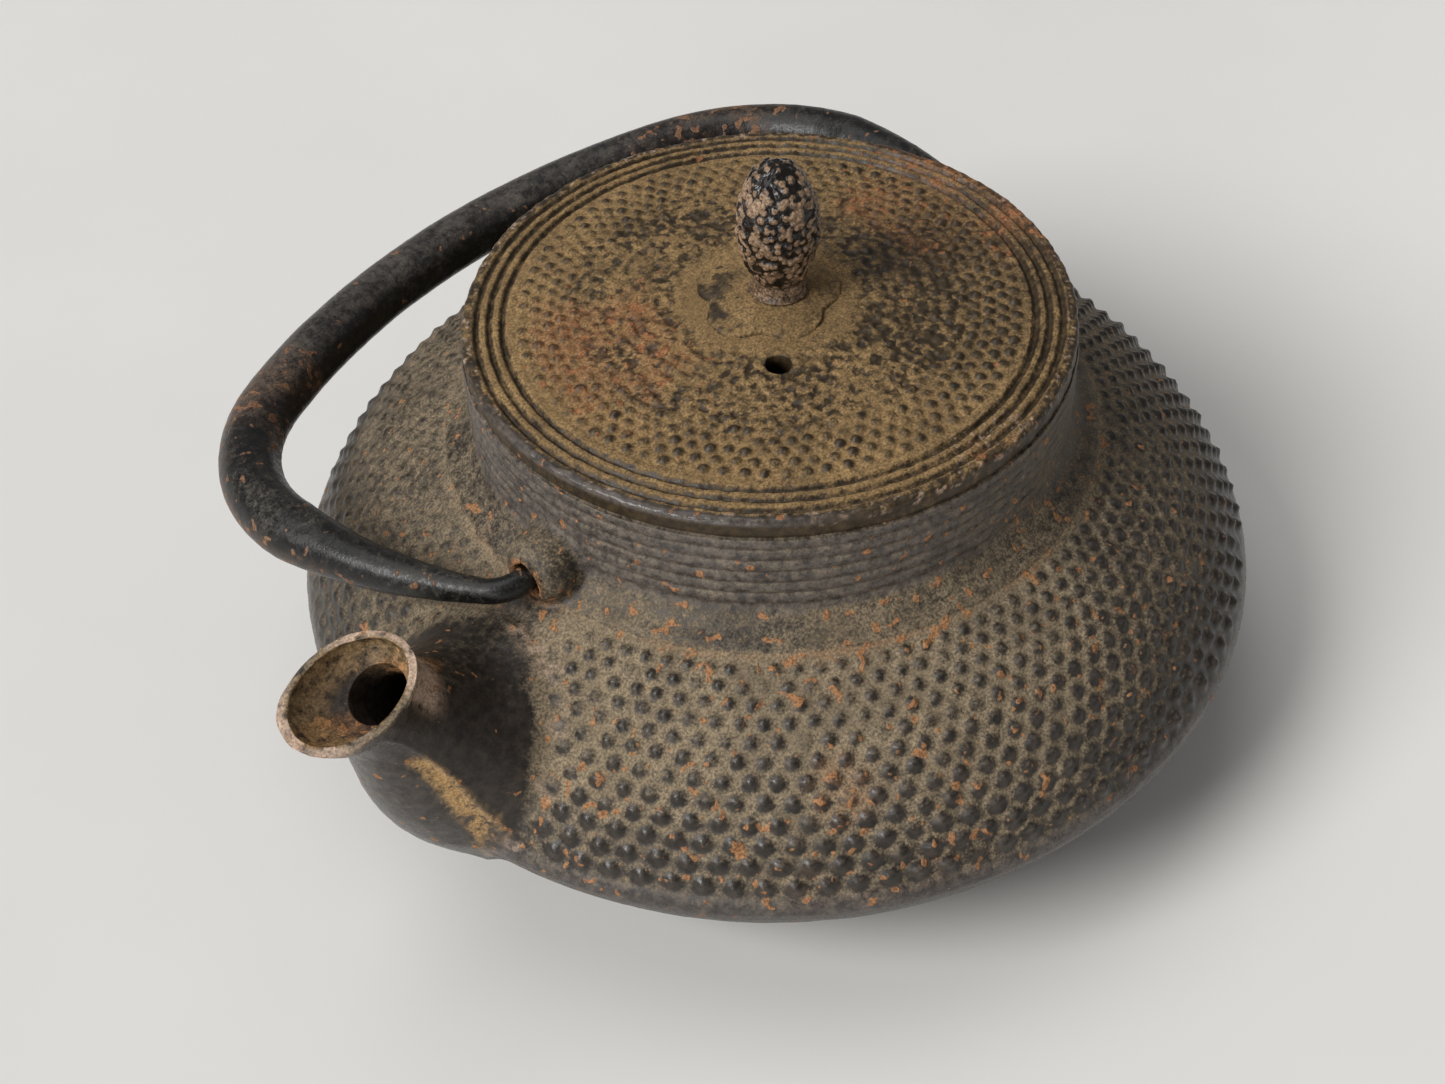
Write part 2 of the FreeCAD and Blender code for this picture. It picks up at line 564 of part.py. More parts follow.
def bail_spine(body):
    """Half of the bail's centre line in its own plane: tip, bend, arm, corner, and half of the arch."""
    sketch = new_sketch(body, "bail_spine", "XY_Plane")
    face, half_width = sheet.get("ear_reach"), sheet.get("bail_half_width")
    radii = [sheet.get("bail_bend"), sheet.get("bail_arm_arc"), float(sheet.evalExpression(CORNER_ARC))]
    bend_turn = math.radians(float(sheet.evalExpression(BAIL_TURN)))
    arch_turn = math.radians(24)
    heading, place = 0.0, FreeCAD.Vector(face, 0, 0)
    tip = float(sheet.evalExpression(BAIL_TIP))
    sketch.addGeometry(Part.LineSegment(FreeCAD.Vector(tip, 0, 0), place))
    turns = [-bend_turn, bend_turn - math.pi / 2, arch_turn - math.pi / 2, -arch_turn]
    for radius, turn in zip(radii + [None], turns):
        radius = radius or place.x / math.sin(arch_turn)
        centre = place + FreeCAD.Vector(math.sin(heading), -math.cos(heading), 0) * radius
        start_angle = heading + math.pi / 2
        sketch.addGeometry(Part.ArcOfCircle(
            Part.Circle(centre, FreeCAD.Vector(0, 0, 1), radius), start_angle + turn, start_angle))
        heading += turn
        place = centre + FreeCAD.Vector(-math.sin(heading), math.cos(heading), 0) * radius
    # Each arc runs clockwise along the bail, so its second end comes first.
    rules = [
        Sketcher.Constraint("PointOnObject", 0, 1, -1),
        Sketcher.Constraint("PointOnObject", 0, 2, -1),
        Sketcher.Constraint("Tangent", 0, 2, 1, 2),
        Sketcher.Constraint("Tangent", 1, 1, 2, 2),
        Sketcher.Constraint("Tangent", 2, 1, 3, 2),
        Sketcher.Constraint("Tangent", 3, 1, 4, 2),
        Sketcher.Constraint("Horizontal", 2, 1, 2, 3),
        Sketcher.Constraint("PointOnObject", 4, 1, -2),
        Sketcher.Constraint("PointOnObject", 4, 3, -2),
    ]
    sketch.addConstraint(rules)
    bound = [
        (Sketcher.Constraint("DistanceX", -1, 1, 0, 1, tip), BAIL_TIP),
        (Sketcher.Constraint("DistanceX", -1, 1, 0, 2, face), "dim.ear_reach"),
        (Sketcher.Constraint("Radius", 1, radii[0]), "dim.bail_bend"),
        (Sketcher.Constraint("Radius", 2, radii[1]), "dim.bail_arm_arc"),
        (Sketcher.Constraint("Radius", 3, radii[2]), CORNER_ARC),
        (Sketcher.Constraint("DistanceX", -1, 1, 2, 1, half_width), "dim.bail_half_width"),
        (Sketcher.Constraint("DistanceY", 4, 1, -1, 1, sheet.get("bail_height")), "dim.bail_height"),
    ]
    for constraint, expression in bound:
        index = sketch.addConstraint(constraint)
        sketch.setExpression(f"Constraints[{index}]", expression)
    return sketch


def make_bail_handle():
    """The bail: a round iron loop, thick along the grip and thin at the tips that turn in the ears."""
    body = new_body("bail_handle")
    spine = bail_spine(body)
    tip = new_sketch(body, "tip_section", "YZ_Plane")
    shift_sketch(tip, z=BAIL_TIP)
    circle(tip, "dim.bail_tip_radius")
    bend = new_sketch(body, "bend_section", "YZ_Plane")
    bend.AttachmentOffset = FreeCAD.Placement(
        FreeCAD.Vector(0, 0, 0), FreeCAD.Rotation(FreeCAD.Vector(0, -1, 0), 45))
    bend.setExpression("AttachmentOffset.Rotation.Angle", BAIL_TURN)
    shift_sketch(
        bend, x=f"-dim.bail_bend * (1 - cos({BAIL_TURN}))",
        z=f"dim.ear_reach + dim.bail_bend * sin({BAIL_TURN})")
    circle(bend, "dim.bail_tip_radius")
    corner = new_sketch(body, "corner_section", "XZ_Plane")
    shift_sketch(corner, x="dim.bail_half_width", z=ARM_REACH)
    circle(corner, "dim.bail_grip_radius")
    # The hook and the grip are even in thickness; the arm between them tapers.
    lengths = [
        swept(body, "hook", tip, spine, ["Edge1", "Edge2"]),
        swept(body, "arm", bend, spine, ["Edge3"], corner),
        swept(body, "grip", corner, spine, ["Edge4", "Edge5"]),
    ]
    mirrored(body, "whole_bail", *lengths)
    droop = FreeCAD.Rotation(FreeCAD.Vector(1, 0, 0), sheet.get("bail_rest_angle"))
    body.Placement = FreeCAD.Placement(FreeCAD.Vector(0, 0, 0), droop)
    body.setExpression("Placement.Base.z", "dim.hinge_height")
    body.setExpression("Placement.Rotation.Angle", "dim.bail_rest_angle")
    return body


def make_infuser_collar():
    """The infuser's spun collar: a flange on the pot's ledge and a short tube below it."""
    body = new_body("infuser_collar")
    flange_radius = f"({LEDGE_RADIUS} - dim.infuser_gap)"
    turned(
        body, "collar_ring",
        [
            (BASKET_INSIDE, BASKET_TOP),
            (BASKET_RADIUS, BASKET_TOP),
            (BASKET_RADIUS, LEDGE_HEIGHT),
            (flange_radius, LEDGE_HEIGHT),
            (flange_radius, f"{LEDGE_HEIGHT} + dim.flange_thick"),
            (BASKET_INSIDE, f"{LEDGE_HEIGHT} + dim.flange_thick"),
        ])
    return body


def make_infuser_wall():
    """The infuser's wall: a thin tube with upright slots all round."""
    body = new_body("infuser_wall")
    turned(
        body, "tube",
        [
            (BASKET_INSIDE, BASKET_FOOT),
            (BASKET_RADIUS, BASKET_FOOT),
            (BASKET_RADIUS, BASKET_TOP),
            (BASKET_INSIDE, BASKET_TOP),
        ])
    sketch = new_sketch(body, "slot_outline", "YZ_Plane")
    shift_sketch(sketch, y=f"{BASKET_FOOT} + dim.basket_depth / 2")
    half_wide, half_tall = "dim.slot_wide / 2", "dim.slot_tall / 2"
    outline(
        sketch,
        [
            (f"-{half_wide}", f"-{half_tall}"),
            (half_wide, f"-{half_tall}"),
            (half_wide, half_tall),
            (f"-{half_wide}", half_tall),
        ],
        {0: ("0.6 * dim.slot_wide", "left"), 2: ("0.6 * dim.slot_wide", "left")})
    slot = body.newObject("PartDesign::Pocket", "slot")
    slot.Profile = sketch
    slot.Type = "ThroughAll"
    slot.Reversed = True
    ringed(body, "slots", slot, "dim.slot_count")
    return body


def make_infuser_floor():
    """The infuser's floor: a disc with a ring of drain holes and one in the middle."""
    body = new_body("infuser_floor")
    sketch = new_sketch(body, "disc", "XY_Plane")
    shift_sketch(sketch, z=f"{BASKET_FOOT} - dim.infuser_sheet")
    circle(sketch, BASKET_RADIUS)
    circle(sketch, "dim.drain_radius")
    pad = body.newObject("PartDesign::Pad", "plate")
    pad.Profile = sketch
    pad.setExpression("Length", "dim.infuser_sheet")
    drain = new_sketch(body, "drain_circle_sketch", "XY_Plane")
    circle(drain, "dim.drain_radius", "dim.drain_circle")
    hole = body.newObject("PartDesign::Pocket", "drain")
    hole.Profile = drain
    hole.Type = "ThroughAll"
    hole.Reversed = True
    ringed(body, "drains", hole, "dim.drain_count")
    return body


pieces = [
    make_pot_body(),
    make_lid(),
    make_knob_seat(),
    make_lid_knob(),
    make_knob_washer(),
    make_bail_handle(),
    make_infuser_collar(),
    make_infuser_wall(),
    make_infuser_floor(),
]
doc.recompute()

for item in doc.Objects:
    if "Invalid" in item.State or "Error" in item.State:
        raise RuntimeError(f"{item.Label} did not compute: {item.getStatusString()}")
for piece in pieces:
    if piece.Shape.isNull() or not piece.Shape.isValid():
        raise RuntimeError(f"{piece.Label} has no valid shape")

os.makedirs("parts", exist_ok=True)
for piece in pieces:
    piece.Shape.exportStep(f"parts/{piece.Label}.step")
    print(f"{piece.Label}: {len(piece.Shape.Solids)} solid, {piece.Shape.Volume / 1000:.2f} cm3")
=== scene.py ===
"""Looks of the cast iron teapot: hobnail pot, ringed lid, pitted knob, iron bail and steel infuser."""
import math

import bmesh
import bpy
import numpy as np
from mathutils import Matrix, Vector, kdtree


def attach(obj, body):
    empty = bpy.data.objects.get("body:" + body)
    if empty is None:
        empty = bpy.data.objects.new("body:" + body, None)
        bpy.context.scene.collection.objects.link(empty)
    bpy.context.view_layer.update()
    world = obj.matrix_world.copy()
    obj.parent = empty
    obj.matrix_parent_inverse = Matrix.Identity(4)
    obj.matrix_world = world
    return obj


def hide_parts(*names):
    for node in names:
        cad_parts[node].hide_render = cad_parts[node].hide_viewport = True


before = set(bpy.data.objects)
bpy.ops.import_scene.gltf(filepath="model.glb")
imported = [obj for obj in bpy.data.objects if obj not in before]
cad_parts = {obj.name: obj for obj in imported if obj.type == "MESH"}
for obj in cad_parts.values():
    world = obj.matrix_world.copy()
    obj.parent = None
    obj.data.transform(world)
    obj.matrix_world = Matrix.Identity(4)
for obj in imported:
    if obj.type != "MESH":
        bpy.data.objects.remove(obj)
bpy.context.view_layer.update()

MM = 0.001
RNG = np.random.default_rng(11)
DOT_SEED = 23
KNOB_SEED = 5

# Pot, in millimetres: outline of the casting.
BASE_RADIUS = 46.0
BOWL_ARC = 50.0
EDGE_RADIUS = 82.5
EDGE_HEIGHT = 30.0
EDGE_BAND = 1.5
SHOULDER_ARC = 45.4
COLLAR_RADIUS = 54.5
COLLAR_HEIGHT = 56.5
COLLAR_STEP = 0.8
COVE_ARC = 7.0
NECK_RADIUS = 49.4
NECK_HEIGHT = 62.0
RIM_HEIGHT = 75.6
RIB_COUNT = 6
RIB_DEPTH = 0.38
WALL = 4.0
FLOOR_WALL = 4.5
MOUTH_RADIUS = 44.5
LEDGE_RADIUS = 46.5
LEDGE_HEIGHT = 74.2

# Hobnails: rows counted down from the collar, evenly spaced round each row.
NAIL_ROWS = 12
NAILS_ROUND = 108
NAIL_FIRST = 2.6
NAIL_STEP = 2.6
NAIL_GROWTH = 0.036
NAIL_TURN = math.radians(0.27)
NAIL_VALLEY = 0.35
NAIL_COLUMNS = 8

# Spout sections from root to lip: reach, height, half length, half width, lean in degrees.
SPOUT_SECTIONS = (
    (64.0, 33.0, 20.0, 18.0, 22.0),
    (74.6, 39.0, 18.7, 16.4, 38.0),
    (82.2, 49.0, 12.75, 12.0, 55.0),
    (87.1, 58.4, 9.2, 9.0, 70.0),
    (91.1, 65.1, 11.35, 9.55, 78.5),
)
LIP_WALL = 1.7
SPOUT_FILLET = 2.2
FILLET_FADE = 6.0
SPOUT_UNDERCUT = 0.8
SPOUT_SUNK = 0.4
SPOUT_COLUMNS = 160
SPOUT_ROWS = 120

# The spout's marks lie farther out than this, nearer its middle plane and higher up.
SPOUT_FROM = 60.0
SPOUT_SIDE = 26.0
SPOUT_FOOT = 14.0

# Turn of the mould line on the spout's side, in degrees, at shares of the spout's run.
CREASE_RUN = (0.0, 0.14, 0.38, 0.6, 0.8, 1.0)
CREASE_TURN = (44.0, 50.0, 71.0, 79.0, 75.0, 70.0)

# The spout's bore: sections like those above, and the step down from the throat.
THROAT = (86.5, 60.4, 4.8, 4.8, 64.0)
THROAT_DROP = (-1.9, -3.9, 0.0, 0.0, 0.0)
GATE = (70.0, 42.0, 7.0, 7.0, 40.0)
BORE_COLUMNS = 96

# Ears and bail.
HINGE_HEIGHT = 60.8
EAR_REACH = 57.0
LUG_RADIUS = 6.0
EAR_DEPTH = 5.6
EAR_COLUMNS = 72
SOCKET_COLUMNS = 40
BAIL_PLAY = 0.08
BAIL_TIP_GAP = 0.6
BAIL_TIP_RADIUS = 2.1
BAIL_GRIP_RADIUS = 5.3
BAIL_BEND = 6.0
BAIL_ARM_ARC = 89.0
BAIL_CORNER_SHARE = 0.818
BAIL_HALF_WIDTH = 70.5
BAIL_HEIGHT = 83.2
BAIL_REST = math.radians(7.0)
BAIL_COLUMNS = 44
BAIL_END_SHARE = 0.7
BAIL_END_TRIM = 0.2

# Lid, seat and knob.
LID_RADIUS = 49.5
LID_EDGE_TOP = 79.1
LID_ROUND = 1.0
LID_TOP = 81.2
LID_UNDER = 77.4
RING_PITCH = 2.1
RING_COUNT = 3
RING_DEPTH = 0.7
GROOVES = [LID_RADIUS - (ring + 1) * RING_PITCH - LID_ROUND / 2 for ring in range(RING_COUNT)]
SKIRT_RADIUS = 42.5
SKIRT_WALL = 2.2
SKIRT_FOOT = 70.1
HOLE_COLUMNS = 48
VENT_RADIUS = 2.1
VENT_OFFSET = 16.9
VENT_ANGLE = math.radians(46.7)
DOTS_ROUND = 80
DOT_FIRST = 39.6
DOT_STEP = 2.15
DOT_RINGS = 13
DOT_COLUMNS = 10
EVEN_RINGS = 6
FIELD_RADIUS = 41.0
FINE_RADIUS = 25.0
LOOSE_FROM = 36.0
LOOSE_BY = 27.0
SEAT_TOP = 82.8
SEAT_ROUND = 0.8
SEAT_COLUMNS = 200
PETALS = 5
PETAL_REACH = 12.2
PETAL_NOTCH = 9.3
KNOB_SHIFT = (-1.25, 1.3)
SHANK_RADIUS = 2.4
STEM_RADIUS = 4.9
WAIST_RADIUS = 4.3
WAIST_HEIGHT = 85.4
BULB_RADIUS = 6.8
WIDEST_HEIGHT = 94.8
TIP_RADIUS = 4.5
TIP_FOOT = 103.8
KNOB_TOP = 106.5
RIVET_RADIUS = 3.7
RIVET_FOOT = 75.3
WASHER_FOOT = 76.4
KNOB_COLUMNS = 176

# Joined forms: reach and rounds of the softening at a seam, how far off a point counts as new, and the
# length of edge that counts as a sliver's.
SPOUT_SEAM = (3.2, 24)
EAR_SEAM = (3.0, 30)
NEW_POINT = 0.001
SLIVER = 0.002

# Looks of the iron: dark and light screen colours of metal, dust and rust, then the roughness of bare
# and of dusty iron, the specular level, how far crowns shed dust and the noise level of rust grains.
IRON_LOOKS = (
    ("pot_iron_hobnail", ((33, 29, 25), (62, 54, 45)), ((92, 80, 63), (152, 135, 109)),
     ((110, 72, 44), (174, 124, 80)), 0.34, 0.86, 0.38, 0.84, 0.722),
    ("lid_iron_dusty", ((40, 32, 22), (70, 56, 36)), ((102, 81, 52), (161, 131, 88)),
     ((108, 68, 40), (156, 106, 68)), 0.40, 0.86, 0.32, 0.84, 0.765),
    ("knob_iron_pitted", ((13, 11, 9), (32, 25, 19)), ((98, 76, 56), (172, 142, 114)),
     ((98, 64, 44), (150, 108, 80)), 0.22, 0.50, 0.42, 0.95, 0.80),
    # The bail's grey dust colours also paint the sheen on the top of its arch.
    ("bail_iron_black", ((10, 9, 8), (22, 20, 18)), ((62, 58, 51), (106, 98, 86)),
     ((90, 60, 40), (146, 106, 74)), 0.33, 0.80, 0.40, 0.0, 0.715),
)

# Lamps: name, the way to them, their width in radians and their strength.
LAMPS = (
    ("window", (0.80, -0.20, 0.69), 0.47, 2.7),
    ("top", (0.05, -0.35, 0.95), 0.75, 0.8),
    ("low_front", (0.80, 0.30, 0.17), 0.35, 0.7),
)
FLOOR_HALF = 12.0


# Numbers and noise

def smooth(low, high, value):
    """Soft step from 0 at low to 1 at high; low may be the larger."""
    share = np.clip((np.asarray(value, float) - low) / (high - low), 0.0, 1.0)
    return share * share * (3.0 - 2.0 * share)


def blend(first, second, share):
    """First where share is 0 and second where it is 1."""
    return first * (1 - share) + share * second


def turns(count):
    """Evenly spaced angles of one whole turn."""
    return np.arange(count) * 2 * math.pi / count


def from_axis(points):
    """Level distance of points from the upright axis at 0, 0."""
    return np.hypot(points[:, 0], points[:, 1])


def in_box(points, low, high):
    """Which points lie inside an upright box."""
    return np.nonzero(((points > low) & (points < high)).all(1))[0]


LATTICE_SIZE = 48
LATTICE = RNG.random((LATTICE_SIZE,) * 3)


def grain(points, size, octaves=3, shift=0.0):
    """Seeded smooth noise from -1 to 1 whose largest lumps are about size across."""
    total = np.zeros(len(points))
    weight, whole = 1.0, 0.0
    for octave in range(octaves):
        place = points / size * 2.0 ** octave + shift + 13.7 * octave
        cell = np.floor(place).astype(int)
        part = place - cell
        part = part * part * (3.0 - 2.0 * part)
        value = np.zeros(len(points))
        for corner in np.ndindex(2, 2, 2):
            share = np.prod(np.where(np.array(corner, bool), part, 1.0 - part), axis=1)
            index = (cell + corner) % LATTICE_SIZE
            value += share * LATTICE[index[:, 0], index[:, 1], index[:, 2]]
        total += weight * (2.0 * value - 1.0)
        whole += weight
        weight *= 0.5
    return total / whole


def arc(start, end, radius, bulge, count):
    """Points of an arc in a profile, bulging to the right of its way for 1 and to the left for -1."""
    start, end = np.array(start, float), np.array(end, float)
    chord = end - start
    length = np.hypot(*chord)
    right = np.array([chord[1], -chord[0]]) / length
    centre = (start + end) / 2 - bulge * right * math.sqrt(max(radius ** 2 - length ** 2 / 4, 0.0))
    first = math.atan2(*(start - centre)[::-1])
    last = math.atan2(*(end - centre)[::-1])
    turn = (last - first + math.pi) % (2 * math.pi) - math.pi
    angles = first + turn * np.linspace(0.0, 1.0, count)
    return centre + radius * np.stack([np.cos(angles), np.sin(angles)], 1)


def line(start, end, count):
    """Evenly spaced points from start to end."""
    share = np.linspace(0.0, 1.0, count)[:, None]
    return blend(np.array(start, float), np.array(end, float), share)


def spline(knots, values, at):
    """Natural cubic spline through the rows of values."""
    knots, values = np.asarray(knots, float), np.asarray(values, float)
    gaps = np.diff(knots)
    size = len(knots)
    rules, sides = np.eye(size), np.zeros(values.shape)
    for k in range(1, size - 1):
        rules[k, k - 1:k + 2] = gaps[k - 1], 2 * (gaps[k - 1] + gaps[k]), gaps[k]
        slopes = (values[k + 1] - values[k]) / gaps[k] - (values[k] - values[k - 1]) / gaps[k - 1]
        sides[k] = 6 * slopes
    bends = np.linalg.solve(rules, sides)
    k = np.clip(np.searchsorted(knots, at) - 1, 0, size - 2)
    left, right, gap = (at - knots[k])[:, None], (knots[k + 1] - at)[:, None], gaps[k][:, None]
    cubic = (bends[k] * right ** 3 + bends[k + 1] * left ** 3) / (6 * gap)
    flat_left = (values[k] / gap - bends[k] * gap / 6) * right
    flat_right = (values[k + 1] / gap - bends[k + 1] * gap / 6) * left
    return cubic + flat_left + flat_right


# Meshes grown ring by ring

class Skin:
    """Rings of points joined into one surface."""

    def __init__(self):
        self.points, self.faces, self.count = [], [], 0

    def ring(self, points):
        points = np.asarray(points, float).reshape(-1, 3)
        self.points.append(points)
        self.count += len(points)
        return np.arange(self.count - len(points), self.count)

    def join(self, low, high):
        """Closes the band between two rings: of one size, of twice the size, or down to one point."""
        n, m = len(low), len(high)
        low_next, high_next = np.roll(low, -1), np.roll(high, -1)
        if n == m:
            bands = [(low, low_next, high_next, high)]
        elif m == 1:
            bands = [(low, low_next, np.full(n, high[0]))]
        elif n == 1:
            bands = [(np.full(m, low[0]), high_next, high)]
        elif n == 2 * m:
            even, odd, after = low[0::2], low[1::2], low_next[1::2]
            bands = [(even, odd, high), (odd, after, high_next), (odd, high_next, high)]
        else:
            even, odd, after = high[0::2], high[1::2], high_next[1::2]
            bands = [(low, low_next, odd), (low, odd, even), (low_next, after, odd)]
        self.faces += [np.stack(band, 1) for band in bands]

    def stack(self, rings):
        for low, high in zip(rings, rings[1:]):
            self.join(low, high)

    def all_points(self):
        return np.concatenate(self.points)

    def mesh(self, name, points=None):
        points = self.all_points() if points is None else points
        data = bpy.data.meshes.new(name)
        data.vertices.add(len(points))
        set_points(data, points)
        totals = np.concatenate([np.full(len(f), f.shape[1]) for f in self.faces])
        corners = np.concatenate([f.ravel() for f in self.faces])
        data.loops.add(len(corners))
        data.loops.foreach_set("vertex_index", corners.astype(np.int32))
        data.polygons.add(len(totals))
        starts = np.concatenate([[0], np.cumsum(totals)[:-1]])
        data.polygons.foreach_set("loop_start", starts.astype(np.int32))
        data.update(calc_edges=True)
        data.validate()
        return data


def turned(profile, columns, centre=(0.0, 0.0)):
    """Surface of revolution from (radius, height) rows, with each point's angle, row and outward way."""
    skin, rings, angles = Skin(), [], []
    for (radius, height), count in zip(profile, columns):
        turn = turns(count) if radius else np.zeros(1)
        x, y = centre[0] + radius * np.cos(turn), centre[1] + radius * np.sin(turn)
        rings.append(skin.ring(np.stack([x, y, np.full(len(turn), height)], 1)))
        angles.append(turn)
    skin.stack(rings)
    rows = np.repeat(np.arange(len(angles)), [len(turn) for turn in angles])
    angles = np.concatenate(angles)
    slant = profile_normals(profile)[rows]
    out = np.stack([slant[:, 0] * np.cos(angles), slant[:, 0] * np.sin(angles), slant[:, 1]], 1)
    return skin, angles, rows, out


def laid_out(stretches):
    """Profile rows, their column counts and their zones, from (zone, rows, columns) stretches."""
    profile, columns, zones = [], [], []
    for zone, rows, count in stretches:
        profile += [tuple(row) for row in rows]
        columns += [count] * len(rows)
        zones += [zone] * len(rows)
    return np.array(profile), columns, np.array(zones)


def profile_normals(profile):
    """Outward unit normals of a profile that runs with its outside on its right."""
    profile = np.asarray(profile, float)
    ways = np.diff(profile, axis=0)
    ways /= np.maximum(np.hypot(ways[:, 0], ways[:, 1]), 1e-9)[:, None]
    tangents = np.vstack([ways[:1], ways[:-1] + ways[1:], ways[-1:]])
    normals = np.stack([tangents[:, 1], -tangents[:, 0]], 1)
    return normals / np.maximum(np.hypot(normals[:, 0], normals[:, 1]), 1e-9)[:, None]


def placed(name, data):
    """A new object in the scene."""
    item = bpy.data.objects.new(name, data)
    bpy.context.scene.collection.objects.link(item)
    return item


def wear(data, material):
    """Gives a mesh one material."""
    data.materials.clear()
    data.materials.append(material)


def new_piece(data, body, nodes, material):
    """An object in the scene that rides on a body and stands for the named solids."""
    piece = placed(data.name, data)
    data.polygons.foreach_set("use_smooth", np.ones(len(data.polygons), bool))
    wear(data, material)
    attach(piece, body)
    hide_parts(*nodes)
    return piece


def set_marks(data, **marks):
    """Named numbers at each vertex, from 0 to 1, for the material to read."""
    for name, values in marks.items():
        layer = data.attributes.new(name, "FLOAT", "POINT")
        layer.data.foreach_set("value", np.clip(values, 0.0, 1.0).astype(np.float32))


def set_points(data, points):
    """Puts a mesh's vertices at points given in millimetres."""
    data.vertices.foreach_set("co", (points * MM).astype(np.float32).ravel())


def vectors(items, name):
    """Rows of three numbers read from one of a mesh's lists."""
    flat = np.zeros(len(items) * 3, np.float32)
    items.foreach_get(name, flat)
    return flat.reshape(-1, 3).astype(float)


def points_of(data):
    """Vertices of a mesh in millimetres."""
    return vectors(data.vertices, "co") / MM


def normals_of(data):
    """Unit normals at a mesh's vertices."""
    return vectors(data.vertex_normals, "vector")


def combined(data, other, operation):
    """Exact union or cut of two closed meshes; both are used up."""
    base, tool = placed("base", data), placed("tool", other)
    modifier = base.modifiers.new("combine", "BOOLEAN")
    modifier.operation = operation
    modifier.object = tool
    modifier.solver = "MANIFOLD"
    shapes = bpy.context.evaluated_depsgraph_get()
    result = bpy.data.meshes.new_from_object(base.evaluated_get(shapes))
    for piece in (base, tool):
        bpy.data.objects.remove(piece)
    return result


def without_slivers(data):
    """Closes up the needle-thin faces that a cut leaves behind."""
    shape = bmesh.new()
    shape.from_mesh(data)
    bmesh.ops.dissolve_degenerate(shape, dist=SLIVER * MM, edges=shape.edges[:])
    shape.to_mesh(data)
    shape.free()
    return data


def tree_of(places):
    """Search tree of places, numbered in their order."""
    tree = kdtree.KDTree(len(places))
    for index, place in enumerate(places):
        tree.insert(place, index)
    tree.balance()
    return tree


def near(points, places):
    """Distance from each point to the nearest of the places."""
    tree = tree_of(places)
    return np.array([tree.find(point)[2] for point in points])


# Hobnails of the shoulder

SHOULDER = arc((EDGE_RADIUS, EDGE_HEIGHT), (COLLAR_RADIUS, COLLAR_HEIGHT), SHOULDER_ARC, 1, 118)
SHOULDER_RUN = np.concatenate([[0.0], np.cumsum(np.hypot(*np.diff(SHOULDER[::-1], axis=0).T))])


def shoulder_along(radius):
    """Distance along the shoulder from the collar, at a radius on it."""
    return np.interp(radius, SHOULDER[::-1, 0], SHOULDER_RUN)


def plain_share(x, y):
    """0 where the casting is left plain, beside the spout and the ears, and 1 elsewhere."""
    radius = np.hypot(x, y)
    reaches = (58.0, 62.8, 67.3, 71.5, 75.3, 82.5)
    widths = (5.0, 7.9, 11.6, 14.8, 18.1, 18.5)
    beside_spout = np.where(x > 0, smooth(0.0, 3.0, np.abs(y) - np.interp(radius, reaches, widths)), 1.0)
    beside_ear = smooth(8.5, 11.0, np.hypot(np.abs(x) - EAR_REACH, y))
    return beside_spout * beside_ear


class Hobnails:
    """Staggered rows of small rounded cones with their seeded unevenness."""

    def __init__(self):
        rows = np.arange(NAIL_ROWS)
        self.place = NAIL_FIRST + NAIL_STEP * rows + NAIL_GROWTH * rows ** 2
        self.radius = np.interp(self.place, SHOULDER_RUN, SHOULDER[::-1, 0])
        self.pitch = 2 * math.pi / NAILS_ROUND
        self.phase = NAIL_TURN + np.where(rows % 2 == 0, self.pitch / 2, 0.0)
        self.foot = np.interp(rows, (0, NAIL_ROWS - 1), (1.55, 2.25))
        self.tall = np.interp(rows, (0, 3, NAIL_ROWS - 1), (0.70, 0.80, 1.0))
        shape = (NAIL_ROWS, NAILS_ROUND)
        self.slip = RNG.normal(0.0, 0.09, shape)
        self.swing = RNG.normal(0.0, 0.10, shape)
        uneven = 1.0 + np.clip(RNG.normal(0.0, 0.12, shape), -0.3, 0.22)
        worn = np.where(RNG.random(shape) < 0.025, 0.55, 1.0)
        angle = self.phase[:, None] + np.arange(NAILS_ROUND) * self.pitch
        share = plain_share(self.radius[:, None] * np.cos(angle), self.radius[:, None] * np.sin(angle))
        turn = (angle + math.pi) % (2 * math.pi) - math.pi
        veil = smooth(0.0, -0.5, turn) * smooth(-2.6, -2.0, turn)
        self.size = uneven * worn * share * (1.0 - 0.45 * veil)

    def crown(self, along, angle):
        """Height of the nail field in millimetres, 0 in the valleys, and how dark its crowns are, lighter at
        each tip as a painted highlight.
        """
        height, share = np.zeros(len(along)), np.zeros(len(along))
        for row in range(NAIL_ROWS):
            picked = np.nonzero(np.abs(along - self.place[row]) < self.foot[row] + 0.4)[0]
            turn = (angle[picked] - self.phase[row]) / self.pitch
            nail = np.round(turn).astype(int)
            which = nail % NAILS_ROUND
            across = (turn - nail) * self.pitch * self.radius[row] - self.swing[row, which]
            down = along[picked] - self.place[row] - self.slip[row, which]
            away = np.hypot(across, down) / self.foot[row]
            dome = np.clip(1.0 - away ** 2, 0.0, 1.0) ** 2
            tip = np.exp(-(away / 0.36) ** 2)
            size = self.size[row, which]
            form = (0.62 * dome + 0.38 * tip * (away < 1.0)) * size
            height[picked] = np.maximum(height[picked], form * self.tall[row])
            dark = np.clip(1.0 - (away / 0.84) ** 2, 0.0, 1.0) ** 1.25 * np.minimum(size, 1.0)
            # Each tip is kept lighter: a painted highlight.
            dark *= 1.0 - 0.32 * np.exp(-(away / 0.27) ** 2)
            share[picked] = np.maximum(share[picked], dark)
        return height, share


# The pot

